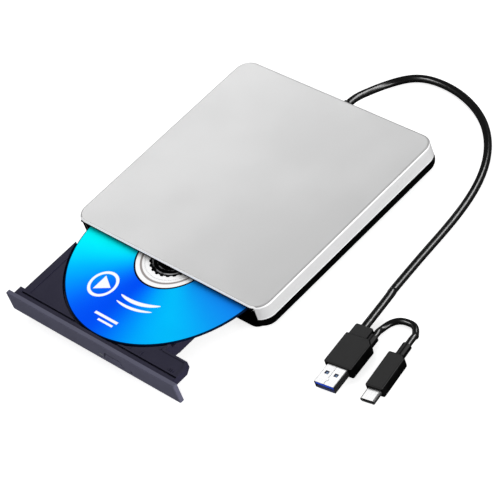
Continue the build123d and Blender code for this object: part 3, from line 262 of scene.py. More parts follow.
# --------------------------------------------------------------------------
# general plastics, rubbers and metals
# --------------------------------------------------------------------------
def grained_plastic(name, base, grain, depth, rough, spec, edge_lift, tint=0.06):
    """Moulding with a fine grain, slight blotches, and edges rubbed lighter and shinier."""
    mat = Finish(name)
    fine = mat.noise(size=grain, detail=3.0, rough=0.6)
    pits = mat.voronoi(size=grain * 1.7)
    blotch = mat.noise(size=0.02)
    wear = mat.edge(radius=0.00018)
    patchy = mat.span(mat.noise(size=0.0035, detail=3.0), over=(0.35, 0.7), to=(0.35, 1.0))
    wear = mat.mul(wear, patchy)
    color = mat.mix(mat.span(fine), shade(base, by=1 - tint), shade(base, by=1 + tint))
    color = mat.mix(mat.span(blotch, to=(0.0, 0.5)), color, shade(base, by=1 - 1.5 * tint))
    color = mat.mix(mat.scaled(wear, by=edge_lift), color, shade(base, by=2.2, lift=0.02))
    gloss = mat.add(mat.span(fine, over=(0.2, 0.8), to=around(rough, 0.05)),
                    mat.span(blotch, to=(-0.03, 0.03)))
    gloss = mat.sub(gloss, mat.scaled(wear, by=0.12), clamp=True)
    height = mat.add(mat.scaled(fine, by=0.6), mat.scaled(pits, by=0.4))
    return mat.set(base=color, rough=gloss, spec=spec,
                   normal=mat.bump(height, distance=depth, strength=0.5))


def rubber(name, base, rough):
    """Matt rubber with a little pale dust."""
    mat = Finish(name)
    grain = mat.noise(size=0.0002, detail=3.0, rough=0.7)
    dust = mat.noise(size=0.004, detail=4.0, rough=0.6)
    wear = mat.edge(radius=0.0003)
    color = mat.mix(mat.span(grain), shade(base, by=0.8), shade(base, by=1.2))
    color = mat.mix(mat.span(dust, over=(0.52, 0.8), to=(0.0, 0.12)), color, (0.28, 0.27, 0.26))
    color = mat.mix(mat.scaled(wear, by=0.2), color, grey(0.12))
    return mat.set(base=color, spec=0.35, sheen=0.15, sheen_rough=0.4,
                   rough=mat.span(dust, over=(0.3, 0.8), to=(rough - 0.08, rough + 0.12)),
                   normal=mat.bump(grain, distance=0.00003, strength=0.6))


def turned_metal(name, base, rough, axis=None, dark=0.6):
    """Metal with hair-fine rings about a vertical axis, or with fine bands stacked in z."""
    mat = Finish(name)
    if axis is None:
        rings = mat.noise(size=0.0004, detail=3.0, rough=0.6,
                          vector=mat.mapping(scale=(1, 1, 8)))
    else:
        x, y, z = mat.centred(axis)
        profile = mat.node("ShaderNodeCombineXYZ", {0: mat.length(x, y), 2: z}).outputs[0]
        rings = mat.noise(size=0.00022, detail=3.0, rough=0.65, vector=profile)
    smear = mat.noise(size=0.004, detail=3.0)
    wear = mat.edge(radius=0.00012)
    color = mat.mix(mat.span(rings), shade(base, by=dark), base)
    color = mat.mix(mat.scaled(wear, by=0.4), color, shade(base, by=1.4, lift=0.05))
    gloss = mat.add(mat.span(rings, to=around(rough, 0.05)),
                    mat.span(smear, over=(0.4, 0.8), to=(0.0, 0.08)), clamp=True)
    return mat.set(base=color, metal=1.0, rough=gloss,
                   normal=mat.bump(rings, distance=0.000008, strength=0.3))


def zinc_sheet():
    """Plated sheet: fine streaks along x, faint spangle, brighter rubbed edges."""
    mat = Finish("zinc_sheet_metal")
    base = (0.60, 0.61, 0.62)
    streak_scale = (1, 14, 1)
    grain = 0.0009
    streak = mat.noise(size=grain, detail=4.0, rough=0.65,
                       vector=mat.mapping(scale=streak_scale))
    fine = mat.noise(size=grain * 0.25, rough=0.6, vector=mat.mapping(scale=streak_scale))
    stain = mat.noise(size=0.012, detail=3.0, rough=0.55)
    wear = mat.edge(radius=0.00012)
    spangle = mat.voronoi(size=0.006)
    color = mat.mix(mat.span(streak), shade(base, by=0.86), shade(base, by=1.1))
    color = mat.mix(mat.span(spangle, over=(0.1, 0.6), to=(0.0, 0.25)), color,
                    shade(base, by=0.72))
    color = mat.mix(mat.span(stain, over=(0.45, 0.75), to=(0.0, 0.25)), color,
                    shade(base, by=0.7))
    color = mat.mix(mat.scaled(wear, by=0.5), color, shade(base, by=1.35))
    gloss = mat.add(mat.span(streak, over=(0.25, 0.75), to=around(0.36, 0.07)),
                    mat.span(stain, over=(0.4, 0.8), to=(0.0, 0.12)), clamp=True)
    return mat.set(base=color, metal=1.0, rough=gloss, aniso=0.4,
                   normal=mat.bump(fine, distance=0.00001, strength=0.25))


# --------------------------------------------------------------------------
# shell
# --------------------------------------------------------------------------
SHELL_HALF = (0.0702, 0.0672)       # half width in x, half depth in y
SHELL_RADIUS = 0.0085               # of the corners in plan
FRONT_WALL_Y = (-0.0655, -0.0658)   # fades in towards the front wall
ROUND_Z = (0.0146, 0.0148)          # fades in at the foot of the top edge's rounding
LIP_Z = (0.01516, 0.01524)          # fades in above the tray opening
# painted light on the top: a lit tone at the back left and a shaded tone at the front right
SILVER_PAINTED_LIT = grey(0.96)
SILVER_PAINTED_SHADE = grey(0.615)
# painted light: the lighter tone of the upright walls
SILVER_WALL_PAINTED_LIGHT = grey(0.88, blue=0.885)
SILVER_METAL = 0.30
# painted light: the edges' painted highlights and the upright walls glow
EDGE_PAINTED_GLOW = 0.28                    # emission of the bright edges
WALL_PAINTED_GLOW = 0.10                    # emission of the upright walls


def silver_shell():
    """Satin silver lacquer over black plastic: fine flake and a soft clear coat. Light is painted in:
    a gradient from lit to shaded across the top, a lighter tone and a glow on the upright walls, and
    painted highlights with a glow round the edges. The overspray stops just inside the walls, so the
    inside stays black; the lip's front face stays black too, and it also serves as painted shade under
    the lip."""
    mat = Finish("silver_lacquer")
    span = mat.span
    flake_cells = mat.voronoi(size=0.00022)
    flake_grain = mat.noise(size=0.00016, rough=0.7)
    cloud = mat.noise(size=0.035)
    peel = mat.noise(size=0.0012)
    x, y, z = mat.split()

    # signed distance to the rounded outline, negative inside
    def past_corner(coordinate, half):
        return mat.sub(mat.abs(coordinate), half - SHELL_RADIUS)

    half_x, half_y = SHELL_HALF
    corner = mat.length(mat.max(past_corner(x, half_x), 0.0), mat.max(past_corner(y, half_y), 0.0))
    inside = mat.math("MINIMUM", mat.max(past_corner(x, half_x), past_corner(y, half_y)), 0.0)
    distance = mat.add(mat.sub(corner, SHELL_RADIUS), inside)

    # where the lacquer lies: the outer walls and the top, but not under the front lip
    normal_x, normal_y, up = mat.normal()
    skin = mat.max(span(distance, over=(-0.0011, -0.0009), linear=True),
                   mat.mul(span(z, over=(0.0149, 0.0150)), span(up, over=(0.0, 0.1))))
    mouth = mat.mul(span(y, over=FRONT_WALL_Y), span(mat.abs(x), over=(0.0653, 0.0651)))
    # painted shade, partly real: the lip's front face below LIP_Z stays raw black as unlacquered
    # plastic, reaching high enough to stand for the shadow line under the lip
    lip_black_and_shade = mat.mul(mouth, span(z, over=LIP_Z[::-1]))
    skin = mat.mul(skin, mat.one_minus(lip_black_and_shade))

    # painted light: the top is lighter at the back left and darker towards the front right, as the
    # light falls
    painted_light_run = mat.add(mat.scaled(x, by=3.9), mat.scaled(y, by=-0.9))
    painted_light_run = span(painted_light_run, over=(-0.33, 0.33), linear=True)
    base = mat.mix(painted_light_run, SILVER_PAINTED_LIT, SILVER_PAINTED_SHADE)
    # painted light: the upright walls take a lighter tone
    painted_lit_wall = span(mat.abs(up), over=(0.25, 0.05))
    base = mat.mix(painted_lit_wall, base, SILVER_WALL_PAINTED_LIGHT)

    # painted highlights on the edges: top rounding and bottom hem facing front right, and the front
    # lip
    toward = mat.sub(mat.scaled(normal_x, by=0.9), mat.scaled(normal_y, by=0.7))
    toward = span(toward, over=(0.05, 0.45))
    rounding_highlight = mat.mul(span(up, over=(0.02, 0.14)), span(up, over=(0.72, 0.50)),
                       span(z, over=ROUND_Z))
    hem_highlight = mat.mul(painted_lit_wall, span(z, over=(0.0079, 0.0075)))
    lip_highlight = mat.mul(span(y, over=FRONT_WALL_Y),
                    mat.mul(span(up, over=(0.985, 0.93)), span(z, over=LIP_Z)))
    painted_highlight = mat.max(mat.mul(mat.max(rounding_highlight, mat.scaled(hem_highlight, by=0.7)), toward), lip_highlight)
    # painted shade: a faint dark line where the rounding meets the flat top
    painted_shade_line = mat.mul(span(up, over=(0.62, 0.80)), span(up, over=(0.9995, 0.99)),
                   span(z, over=ROUND_Z))
    wear = mat.edge(radius=0.0003)

    color = mat.mix(span(flake_grain, over=(0.25, 0.75), to=(0.0, 0.14)), base,
                    (0.40, 0.405, 0.41))
    color = mat.mix(span(flake_cells, over=(0.0, 0.35), to=(0.12, 0.0)), color,
                    grey(0.95, blue=0.96))
    color = mat.mix(span(cloud, to=(0.0, 0.05)), color, grey(0.6))
    color = mat.mix(mat.scaled(painted_shade_line, by=0.16), color, grey(0.30, blue=0.305))
    # painted highlight: sharp edges lightened toward white
    color = mat.mix(mat.scaled(wear, by=0.25), color, grey(0.93, blue=0.935))
    # painted highlight laid over the edges
    color = mat.mix(mat.scaled(painted_highlight, by=0.9), color, grey(0.98, blue=0.985))
    raw = mat.mix(span(flake_grain), grey(0.003, blue=0.0032), grey(0.006, blue=0.0063))
    color = mat.mix(skin, raw, color)

    lacquer_rough = mat.add(span(flake_grain, over=(0.2, 0.8), to=(0.36, 0.46)),
                            span(cloud, to=(-0.02, 0.03)))
    rough = mat.add(mat.scaled(lacquer_rough, by=1.0),
                    mat.scaled(mat.one_minus(skin), by=0.15), clamp=True)
    relief = mat.bump(flake_grain, distance=0.000006, strength=0.35)
    relief = mat.bump(peel, distance=0.00002, strength=0.15, normal=relief)
    # painted light: the highlighted edges and the upright walls glow
    glow = mat.max(mat.scaled(painted_highlight, by=EDGE_PAINTED_GLOW), mat.scaled(painted_lit_wall, by=WALL_PAINTED_GLOW))
    return mat.set(base=color, rough=rough, normal=relief,
                   metal=mat.mul(skin, span(painted_highlight, over=FULL, to=(SILVER_METAL, 0.1))),
                   spec=span(skin, over=FULL, to=(0.15, 0.5)),
                   coat=mat.scaled(skin, by=0.2), coat_rough=0.28,
                   coat_normal=mat.bump(peel, distance=0.00003, strength=0.2),
                   emit=grey(1.0), emit_strength=mat.mul(skin, glow))


# --------------------------------------------------------------------------
# small parts inside the drive
# --------------------------------------------------------------------------
def foam():
    mat = Finish("open_cell_foam")
    cells = mat.voronoi(size=0.0005)
    small_cells = mat.voronoi(size=0.00022)
    color = mat.mix(mat.span(cells, over=(0.1, 0.6)), grey(0.075, blue=0.078),
                    grey(0.018, blue=0.02))
    height = mat.add(cells, mat.scaled(small_cells, by=0.5))
    return mat.set(base=color, rough=0.95, spec=0.15, sheen=0.3,
                   normal=mat.bump(height, distance=0.00025, strength=0.9))


def clear_plastic():
    mat = Finish("light_pipe_plastic")
    ripple = mat.noise(size=0.0008, detail=3.0)
    haze = mat.noise(size=0.0003)
    return mat.set(base=mat.mix(mat.span(ripple), (0.62, 0.66, 0.68), (0.74, 0.77, 0.78)),
                   rough=mat.span(haze, over=(0.2, 0.8), to=(0.08, 0.22)), trans=0.55, ior=1.58,
                   normal=mat.bump(ripple, distance=0.00002, strength=0.2))


def circuit_board():
    """Green solder mask over copper tracks that show as slightly raised, lighter lines."""
    mat = Finish("solder_mask")
    x, y, z = mat.split(mat.mapping())
    across = mat.math("PINGPONG", x, 0.0011)
    # the second set of tracks steps sideways every 4.4 mm
    step = mat.scaled(mat.math("SNAP", x, 0.0044), by=0.35)
    along = mat.math("PINGPONG", mat.add(y, step), 0.0008)
    patches = mat.span(mat.noise(size=0.006, detail=1.0), over=(0.45, 0.5))
    tracks = mat.max(mat.span(across, over=(0.00082, 0.00092)),
                     mat.mul(mat.span(along, over=(0.00052, 0.0006)), patches))
    vias = mat.span(mat.voronoi(size=0.0034), over=(0.07, 0.055))
    weave = mat.wave(size=0.0012)
    color = mat.mix(tracks, (0.006, 0.085, 0.035), (0.02, 0.2, 0.075))
    color = mat.mix(mat.scaled(weave, by=0.12), color, (0.01, 0.05, 0.02))
    color = mat.mix(vias, color, (0.75, 0.62, 0.3))
    height = mat.add(tracks, mat.scaled(vias, by=0.8))
    return mat.set(base=color, metal=mat.scaled(vias, by=0.9),
                   rough=mat.span(tracks, over=FULL, to=(0.32, 0.22)), coat=0.5, coat_rough=0.12,
                   normal=mat.bump(height, distance=0.00003, strength=0.6))


def chip_epoxy():
    mat = Finish("epoxy_package")
    grain = mat.noise(size=0.00012, rough=0.7)
    swirl = mat.noise(size=0.002)
    wear = mat.edge(radius=0.0001)
    color = mat.mix(mat.span(grain), grey(0.010, blue=0.011), grey(0.024, blue=0.026))
    color = mat.mix(mat.scaled(wear, by=0.3), color, grey(0.09))
    return mat.set(base=color, rough=mat.span(swirl, to=(0.42, 0.58)), spec=0.4,
                   normal=mat.bump(grain, distance=0.00002, strength=0.6))


def ribbon_film():
    """Amber film over copper strips that run along y, with a bare margin at each side."""
    mat = Finish("polyimide_ribbon")
    x, y, z = mat.split()
    strip = mat.math("PINGPONG", mat.add(x, 0.0002), 0.0005)
    copper = mat.span(strip, over=(0.00019, 0.00024))
    from_middle = mat.abs(mat.add(x, 0.018))
    copper = mat.mul(copper, mat.span(from_middle, over=(0.0112, 0.0114), to=(1.0, 0.0)))
    cloud = mat.noise(size=0.003, detail=3.0)
    color = mat.mix(copper, (0.50, 0.20, 0.03), (0.76, 0.40, 0.14))
    color = mat.mix(mat.span(cloud, over=(0.4, 0.7), to=(0.0, 0.25)), color, (0.42, 0.16, 0.02))
    return mat.set(base=color, rough=mat.span(cloud, to=(0.2, 0.34)),
                   metal=mat.scaled(copper, by=0.45), coat=0.4, coat_rough=0.15,
                   normal=mat.bump(copper, distance=0.00003, strength=0.5))


def turntable_black():
    """Glossy black hub with a paler ring on its raised middle."""
    mat = Finish("hub_black")
    grain = mat.noise(size=0.0003, detail=3.0)
    wear = mat.edge(radius=0.00025)
    color = mat.mix(mat.span(grain), grey(0.003, blue=0.0033), grey(0.007, blue=0.0075))
    x, y, z = mat.centred(HUB)
    radius = mat.length(x, y)
    plate = mat.mul(mat.span(radius, over=(0.0028, 0.0032)),
                    mat.span(radius, over=(0.0060, 0.0056)), mat.span(z, over=(0.0128, 0.0129)))
    color = mat.mix(mat.scaled(plate, by=0.8), color, grey(0.20, blue=0.205))
    color = mat.mix(mat.scaled(wear, by=0.6), color, grey(0.45, blue=0.46))
    return mat.set(base=color, metal=mat.scaled(wear, by=0.6),
                   rough=mat.span(grain, to=(0.16, 0.26)), spec=0.6, coat=0.6, coat_rough=0.08,
                   normal=mat.bump(grain, distance=0.00001, strength=0.3))


def lens_glass():
    mat = Finish("coated_lens")
    cloud = mat.noise(size=0.0015)
    return mat.set(base=mat.mix(mat.span(cloud), (0.10, 0.16, 0.42), (0.18, 0.24, 0.55)),
                   rough=mat.span(cloud, over=(0.2, 0.8), to=(0.02, 0.06)), ior=1.55,
                   trans=0.45, coat=1.0, coat_rough=0.02, film=320.0, film_ior=1.6)


def lens_mount():
    mat = Finish("lens_mount")
    base = grey(0.012, blue=0.014)
    rough = 0.45
    grain = mat.noise(size=0.0003, detail=3.0)
    swirl = mat.noise(size=0.003)
    wear = mat.edge(radius=0.00015)
    color = mat.mix(mat.span(grain), shade(base, by=0.85), shade(base, by=1.15))
    color = mat.mix(mat.span(swirl, over=(0.4, 0.75), to=(0.0, 0.2)), color, shade(base, by=0.7))
    color = mat.mix(mat.scaled(wear, by=0.25), color, shade(base, by=1.6, lift=0.03))
    return mat.set(base=color, coat=0.1, coat_rough=0.15,
                   rough=mat.span(grain, over=(0.2, 0.8), to=(rough - 0.05, rough + 0.06)),
                   normal=mat.bump(grain, distance=0.00001, strength=0.4))


# --------------------------------------------------------------------------
# disc
# --------------------------------------------------------------------------
# painted light: the label glows, dimmed as painted shade where parts stand close over it
DISC_PAINTED_GLOW = 0.37        # emission of the label where nothing stands close over it
PRINT_SOFTNESS = 0.00012

# the motif's own axes are u and v, turned by MOTIF_TURN from x and y about the hub
MOTIF_TURN = 0.0
MOTIF_CENTRE = (-0.0215, -0.0335)
MOTIF_RING = (0.0078, 0.00085)      # radius, half width
TRIANGLE_INRADIUS = 0.00286
# centre u, centre v, half length, half height
BARS = ((-0.0025, -0.0492, 0.0085, 0.00075), (-0.0005, -0.0520, 0.0055, 0.0006))
# radius, half width at the middle, first angle, last angle (radians about the hub)
ARCS = ((0.0345, 0.0011, -1.78, -1.02), (0.0385, 0.0008, -1.74, -1.12))

# label colour round the hub: angle from +x in degrees, sRGB colour
LABEL_COLORS = (
    (-179.9, (0, 255, 246)), (-168, (0, 250, 250)), (-156, (2, 226, 254)),
    (-144, (0, 182, 255)), (-130, (3, 134, 254)), (-116, (4, 90, 250)),
    (-102, (0, 74, 240)), (-92, (0, 84, 245)), (-80, (0, 125, 250)),
    (-68, (0, 165, 250)), (-52, (2, 190, 248)), (-40, (4, 180, 248)),
    (-26, (12, 150, 240)), (-10, (18, 126, 235)), (20, (14, 100, 228)),
    (60, (2, 82, 238)), (95, (0, 140, 250)), (130, (0, 205, 255)),
    (160, (0, 245, 252)), (179.9, (0, 255, 246)),
)
LABEL_STOPS = sorted((((angle + 180.0) % 360.0) / 360.0, srgb(*color))
                     for angle, color in LABEL_COLORS)
# colour play of the data side: position, linear colour
DATA_STOPS = (
    (0.0, (0.62, 0.30, 0.75)), (0.25, (0.28, 0.40, 0.85)), (0.5, (0.30, 0.75, 0.70)),
    (0.75, (0.85, 0.75, 0.35)), (1.0, (0.62, 0.30, 0.75)),
)


def printed_white(mat, x, y, radius, angle):
    """Mask of the white print: a triangle in a ring, plain bars, and arcs tapering to points."""
    def filled(distance):
        return mat.span(distance, over=(PRINT_SOFTNESS, -PRINT_SOFTNESS), linear=True)

    cosine, sine = math.cos(MOTIF_TURN), math.sin(MOTIF_TURN)
    u = mat.add(mat.scaled(x, by=cosine), mat.scaled(y, by=sine))
    v = mat.add(mat.scaled(x, by=-sine), mat.scaled(y, by=cosine))

    motif_u = mat.sub(u, MOTIF_CENTRE[0])
    motif_v = mat.sub(v, MOTIF_CENTRE[1])
    ring_radius, ring_half = MOTIF_RING
    off_ring = mat.abs(mat.sub(mat.length(motif_u, motif_v), ring_radius))
    ring = filled(mat.sub(off_ring, ring_half))

    # the triangle points along +u
    def slanted_side(slope):
        reach = mat.add(mat.scaled(motif_u, by=0.5), mat.scaled(motif_v, by=slope))
        return mat.sub(reach, TRIANGLE_INRADIUS)

    back_side = mat.sub(mat.scaled(motif_u, by=-1.0), TRIANGLE_INRADIUS)
    sides = mat.max(back_side, mat.max(slanted_side(0.866), slanted_side(-0.866)))
    white = mat.max(ring, filled(sides))

    for centre_u, centre_v, half_u, half_v in BARS:
        off_u = mat.sub(mat.abs(mat.sub(u, centre_u)), half_u)
        off_v = mat.sub(mat.abs(mat.sub(v, centre_v)), half_v)
        white = mat.max(white, filled(mat.max(off_u, off_v)))

    for arc_radius, half, first, last in ARCS:
        along = mat.span(angle, over=(first, last), linear=True)
        hump = mat.mul(along, mat.one_minus(along))
        taper = mat.math("SQRT", mat.scaled(hump, by=4.0), clamp=True)
        off_arc = mat.sub(mat.abs(mat.sub(radius, arc_radius)), mat.scaled(taper, by=half))
        arc = mat.mul(filled(off_arc), mat.span(taper, over=(0.02, 0.08)))
        white = mat.max(white, arc)
    return white


def disc_material():
    """Cyan-to-blue label swept round the hub with a white clamping ring, and a mirror-like data side
    with faint interference colours underneath. The label glows as painted light, and the clear middle
    shows the black turntable painted in, with painted glints."""
    mat = Finish("disc_print_and_mirror")
    span = mat.span
    x, y, z = mat.centred(HUB)
    radius = mat.length(x, y)
    angle = mat.math("ARCTAN2", y, x)

    # label ink, with print dots and a slow drift in tone
    turn = mat.math("MULTIPLY_ADD", angle, 1 / (2 * math.pi), 0.5)
    dots = mat.voronoi(size=0.00028)
    ink = mat.mix(span(dots, over=(0.0, 0.5), to=(0.006, 0.0)),
                  mat.ramp(turn, LABEL_STOPS, "B_SPLINE"), grey(1.0))
    ink = mat.mix(span(mat.noise(size=0.02), over=(0.35, 0.7), to=(0.0, 0.05)), ink,
                  (0.0, 0.08, 0.5))
    white = printed_white(mat, x, y, radius, angle)
    ink = mat.mix(white, ink, (0.93, 0.95, 0.97))

    def band(inner, outer, soft=0.0001):
        return mat.mul(span(radius, over=around(inner, soft)),
                       span(radius, over=around(outer, soft), to=(1.0, 0.0)))

    def broken_band(inner, outer, soft, size, over):
        return mat.mul(band(inner, outer, soft), span(mat.noise(size=size), over=over))

    # top side: white clamping ring with a thin line, then the label
    top = mat.mix(span(radius, over=(0.0221, 0.0223)), grey(0.94, blue=0.945), ink)
    top = mat.mix(mat.scaled(band(0.0184, 0.0196, soft=0.0002), by=0.85), top,
                  (0.21, 0.175, 0.165))
    # bare plastic in the middle: the toothed black turntable below is painted in, with painted glints
    # on it
    teeth = span(mat.math("SINE", mat.scaled(angle, by=24.0)), over=(-0.3, 0.5))
    teeth = mat.scaled(teeth, by=0.0006)
    bare = span(mat.add(radius, teeth), over=(0.01455, 0.01465), to=(1.0, 0.0))
    painted_glint = broken_band(0.0098, 0.0104, soft=0.00012, size=0.004, over=(0.4, 0.6))
    hub = mat.mix(painted_glint, grey(0.0015, blue=0.0017), grey(0.16, blue=0.165))
    painted_glint = broken_band(0.0122, 0.0130, soft=0.0002, size=0.006, over=(0.45, 0.62))
    hub = mat.mix(painted_glint, hub, grey(0.35, blue=0.36))
    top = mat.mix(bare, top, hub)
    # dark outlines at the label's inner and outer edges
    top = mat.mix(band(0.0219, 0.0229), top, (0.004, 0.006, 0.020))
    top = mat.mix(span(radius, over=(0.05925, 0.05955)), top, (0.001, 0.010, 0.045))

    normal_z = mat.normal()[2]
    up = span(normal_z, over=(0.1, 0.3))
    rim = mat.mul(span(radius, over=(0.05975, 0.05985)),
                  span(mat.abs(normal_z), over=(0.9, 0.6)))

    # data side
    swing = mat.scaled(mat.math("SINE", mat.scaled(angle, by=2.0)), by=0.6)
    hue = mat.math("FRACT", mat.add(mat.scaled(radius, by=95.0), swing))
    data_inner = (0.0222, 0.0226)
    data_outer = (0.0585, 0.0587)
    under = mat.mix(0.35, (0.58, 0.56, 0.66), mat.ramp(hue, DATA_STOPS))
    under = mat.mix(span(radius, over=data_inner, to=(1.0, 0.0)), under, (0.80, 0.81, 0.82))
    under = mat.mix(span(radius, over=data_outer), under, (0.75, 0.76, 0.78))
    data = mat.mul(span(radius, over=data_inner), span(radius, over=data_outer, to=(1.0, 0.0)),
                   mat.one_minus(up))

    color = mat.mix(up, under, top)
    color = mat.mix(rim, color, (0.002, 0.010, 0.035))
    ink_height = mat.add(mat.scaled(white, by=0.6), mat.scaled(dots, by=0.15))
    rough = mat.add(mat.scaled(up, by=0.30), span(mat.noise(size=0.0006), to=(0.10, 0.16)))
    # painted light: the label glows, and the glow is dimmed as painted shade where other parts stand
    # close over it
    occlusion = mat.node("ShaderNodeAmbientOcclusion", {"Distance": 0.007}, samples=6)
    glow = mat.mul(up, DISC_PAINTED_GLOW, span(occlusion.outputs["AO"], over=(0.56, 0.96)))
    return mat.set(base=color, metal=mat.scaled(data, by=0.9), rough=rough,
                   spec=mat.mul(span(up, over=FULL, to=(0.5, 0.0)),
                                mat.one_minus(mat.scaled(rim, by=0.9))),
                   normal=mat.bump(ink_height, distance=0.00002, strength=0.25),
                   emit=color, emit_strength=glow)


# --------------------------------------------------------------------------
# cable and plug
# --------------------------------------------------------------------------
def cable_jacket():
    """Glossy black jacket with small ripples and fine specks."""
    mat = Finish("pvc_jacket")
    grain = mat.noise(size=0.0009)
    fine = mat.noise(size=0.00015, rough=0.7)
    ripple = mat.noise(size=0.006)
    color = mat.mix(mat.span(fine), grey(0.0004), grey(0.0010, blue=0.0011))
    specks = mat.noise(size=0.01, detail=4.0)
    color = mat.mix(mat.span(specks, over=(0.55, 0.85), to=(0.0, 0.04)), color, grey(0.05))
    relief = mat.bump(ripple, distance=0.00012, strength=0.25)
    relief = mat.bump(grain, distance=0.00001, strength=0.2, normal=relief)
    return mat.set(base=color, rough=mat.span(fine, over=(0.2, 0.8), to=(0.22, 0.27)), spec=0.6,
                   normal=relief)


def plug_plastic():
    """Very fine grain, with painted light: the flat faces lighter, the upright sides darker, and a
    painted highlight as a paler roll along the front right.
    """
    mat = Finish("plug_overmould")
    span = mat.span
    grain = mat.noise(size=0.00022, detail=3.0, rough=0.65)
    pits = mat.voronoi(size=0.0004)
    blotch = mat.noise(size=0.006)
    normal_x, normal_y, normal_z = mat.normal("True Normal")
    flat = span(mat.abs(normal_z), over=(0.95, 0.995))
    wear = mat.edge(radius=0.0003)
    # painted light: the upright sides take the darker tone, the flat faces the lighter one
    low = mat.mix(span(grain), grey(0.0005), grey(0.0010, blue=0.0011))
    # painted highlight: a paler roll on the rounded edge facing front right
    facing = span(mat.sub(normal_x, normal_y), over=(0.15, 0.5))
    painted_roll_highlight = mat.mul(span(normal_z, over=(0.35, 0.6)), span(normal_z, over=(0.98, 0.85)), facing)
    high = mat.mix(span(grain), grey(0.0135, blue=0.014), grey(0.0195, blue=0.020))
    color = mat.mix(flat, low, high)
    color = mat.mix(span(blotch, over=(0.4, 0.7), to=(0.0, 0.2)), color, grey(0.012))
    color = mat.mix(mat.scaled(wear, by=0.05), color, grey(0.25))
    color = mat.mix(mat.scaled(painted_roll_highlight, by=0.8), color, grey(0.06))
    rough = mat.add(span(flat, over=FULL, to=(0.34, 0.5)), span(grain, to=(-0.04, 0.04)))
    return mat.set(base=color, rough=rough, spec=span(flat, over=FULL, to=(0.10, 0.25)),
                   normal=mat.bump(mat.add(grain, pits), distance=0.000025, strength=0.5))


def plug_steel():
    """Bright plated metal, lightly brushed along the plug, with painted shade on the upright sides."""
    mat = Finish("plated_shell")
    turn = math.atan2(PLUG_ACROSS[1], PLUG_ACROSS[0])
    squared = mat.mapping(rot=(0, 0, -turn))
    brushed = mat.noise(size=0.0012, detail=4.0, rough=0.6,
                        vector=mat.mapping(squared, scale=(10, 1, 10)))
    smear = mat.noise(size=0.004, detail=3.0)
    wear = mat.edge(radius=0.00015)
    color = mat.mix(mat.span(brushed), grey(0.60, blue=0.605), grey(0.72, blue=0.725))
    color = mat.mix(mat.scaled(wear, by=0.6), color, grey(0.80))
    normal_z = mat.normal("True Normal")[2]
    # painted shade: the upright sides are darkened almost to black
    side = mat.mul(mat.span(mat.abs(normal_z), over=(0.9, 0.55)),
                   mat.span(brushed, over=(0.1, 0.9), to=(1.0, 0.85)))
    color = mat.mix(mat.scaled(side, by=0.97), color, grey(0.012, blue=0.014))
    rough = mat.add(mat.span(brushed, to=(0.22, 0.32)),
                    mat.span(smear, over=(0.4, 0.8), to=(0.0, 0.06)))
    return mat.set(base=color, metal=0.8, rough=rough,
                   normal=mat.bump(brushed, distance=0.000006, strength=0.3))


WINDOW_ACROSS = 0.00275     # each window's centre, either side of the plug's middle
WINDOW_ALONG = -0.0049      # the windows' centre along the plug


def insert_blue():
    """Blue plug insert; under each window of the plug's shell lies a square of painted shade with a
    paler middle."""
    mat = Finish("insert_blue_nylon")
    grain = mat.noise(size=0.0003, detail=3.0)
    swirl = mat.noise(size=0.003)
    x, y, z = mat.centred(PLUG_PLACE)
    cosine, sine = PLUG_ACROSS
    across = mat.add(mat.scaled(x, by=cosine), mat.scaled(y, by=sine))
    along = mat.add(mat.scaled(x, by=-sine), mat.scaled(y, by=cosine))
    off_across = mat.sub(mat.abs(across), WINDOW_ACROSS)
    off_along = mat.sub(along, WINDOW_ALONG)
    square = mat.max(mat.abs(off_across), mat.abs(off_along))
    top = mat.span(z, over=(0.0036, 0.0038))
    # painted shade in each window's recess, with a paler middle
    window_shade = mat.mul(mat.span(square, over=(0.0016, 0.0014)), top)
    core = mat.mul(mat.span(square, over=(0.00052, 0.0004)), top)
    base = srgb(24, 84, 250)
    color = mat.mix(mat.span(grain), shade(base, by=0.85), shade(base, by=1.15))
    color = mat.mix(mat.span(swirl, over=(0.4, 0.75), to=(0.0, 0.2)), color, shade(base, by=0.7))
    color = mat.mix(window_shade, color, srgb(6, 22, 78))
    color = mat.mix(core, color, srgb(120, 160, 205))
    return mat.set(base=color, rough=mat.span(grain, over=(0.2, 0.8), to=(0.32, 0.42)), spec=0.3,
                   normal=mat.bump(grain, distance=0.00001, strength=0.4))


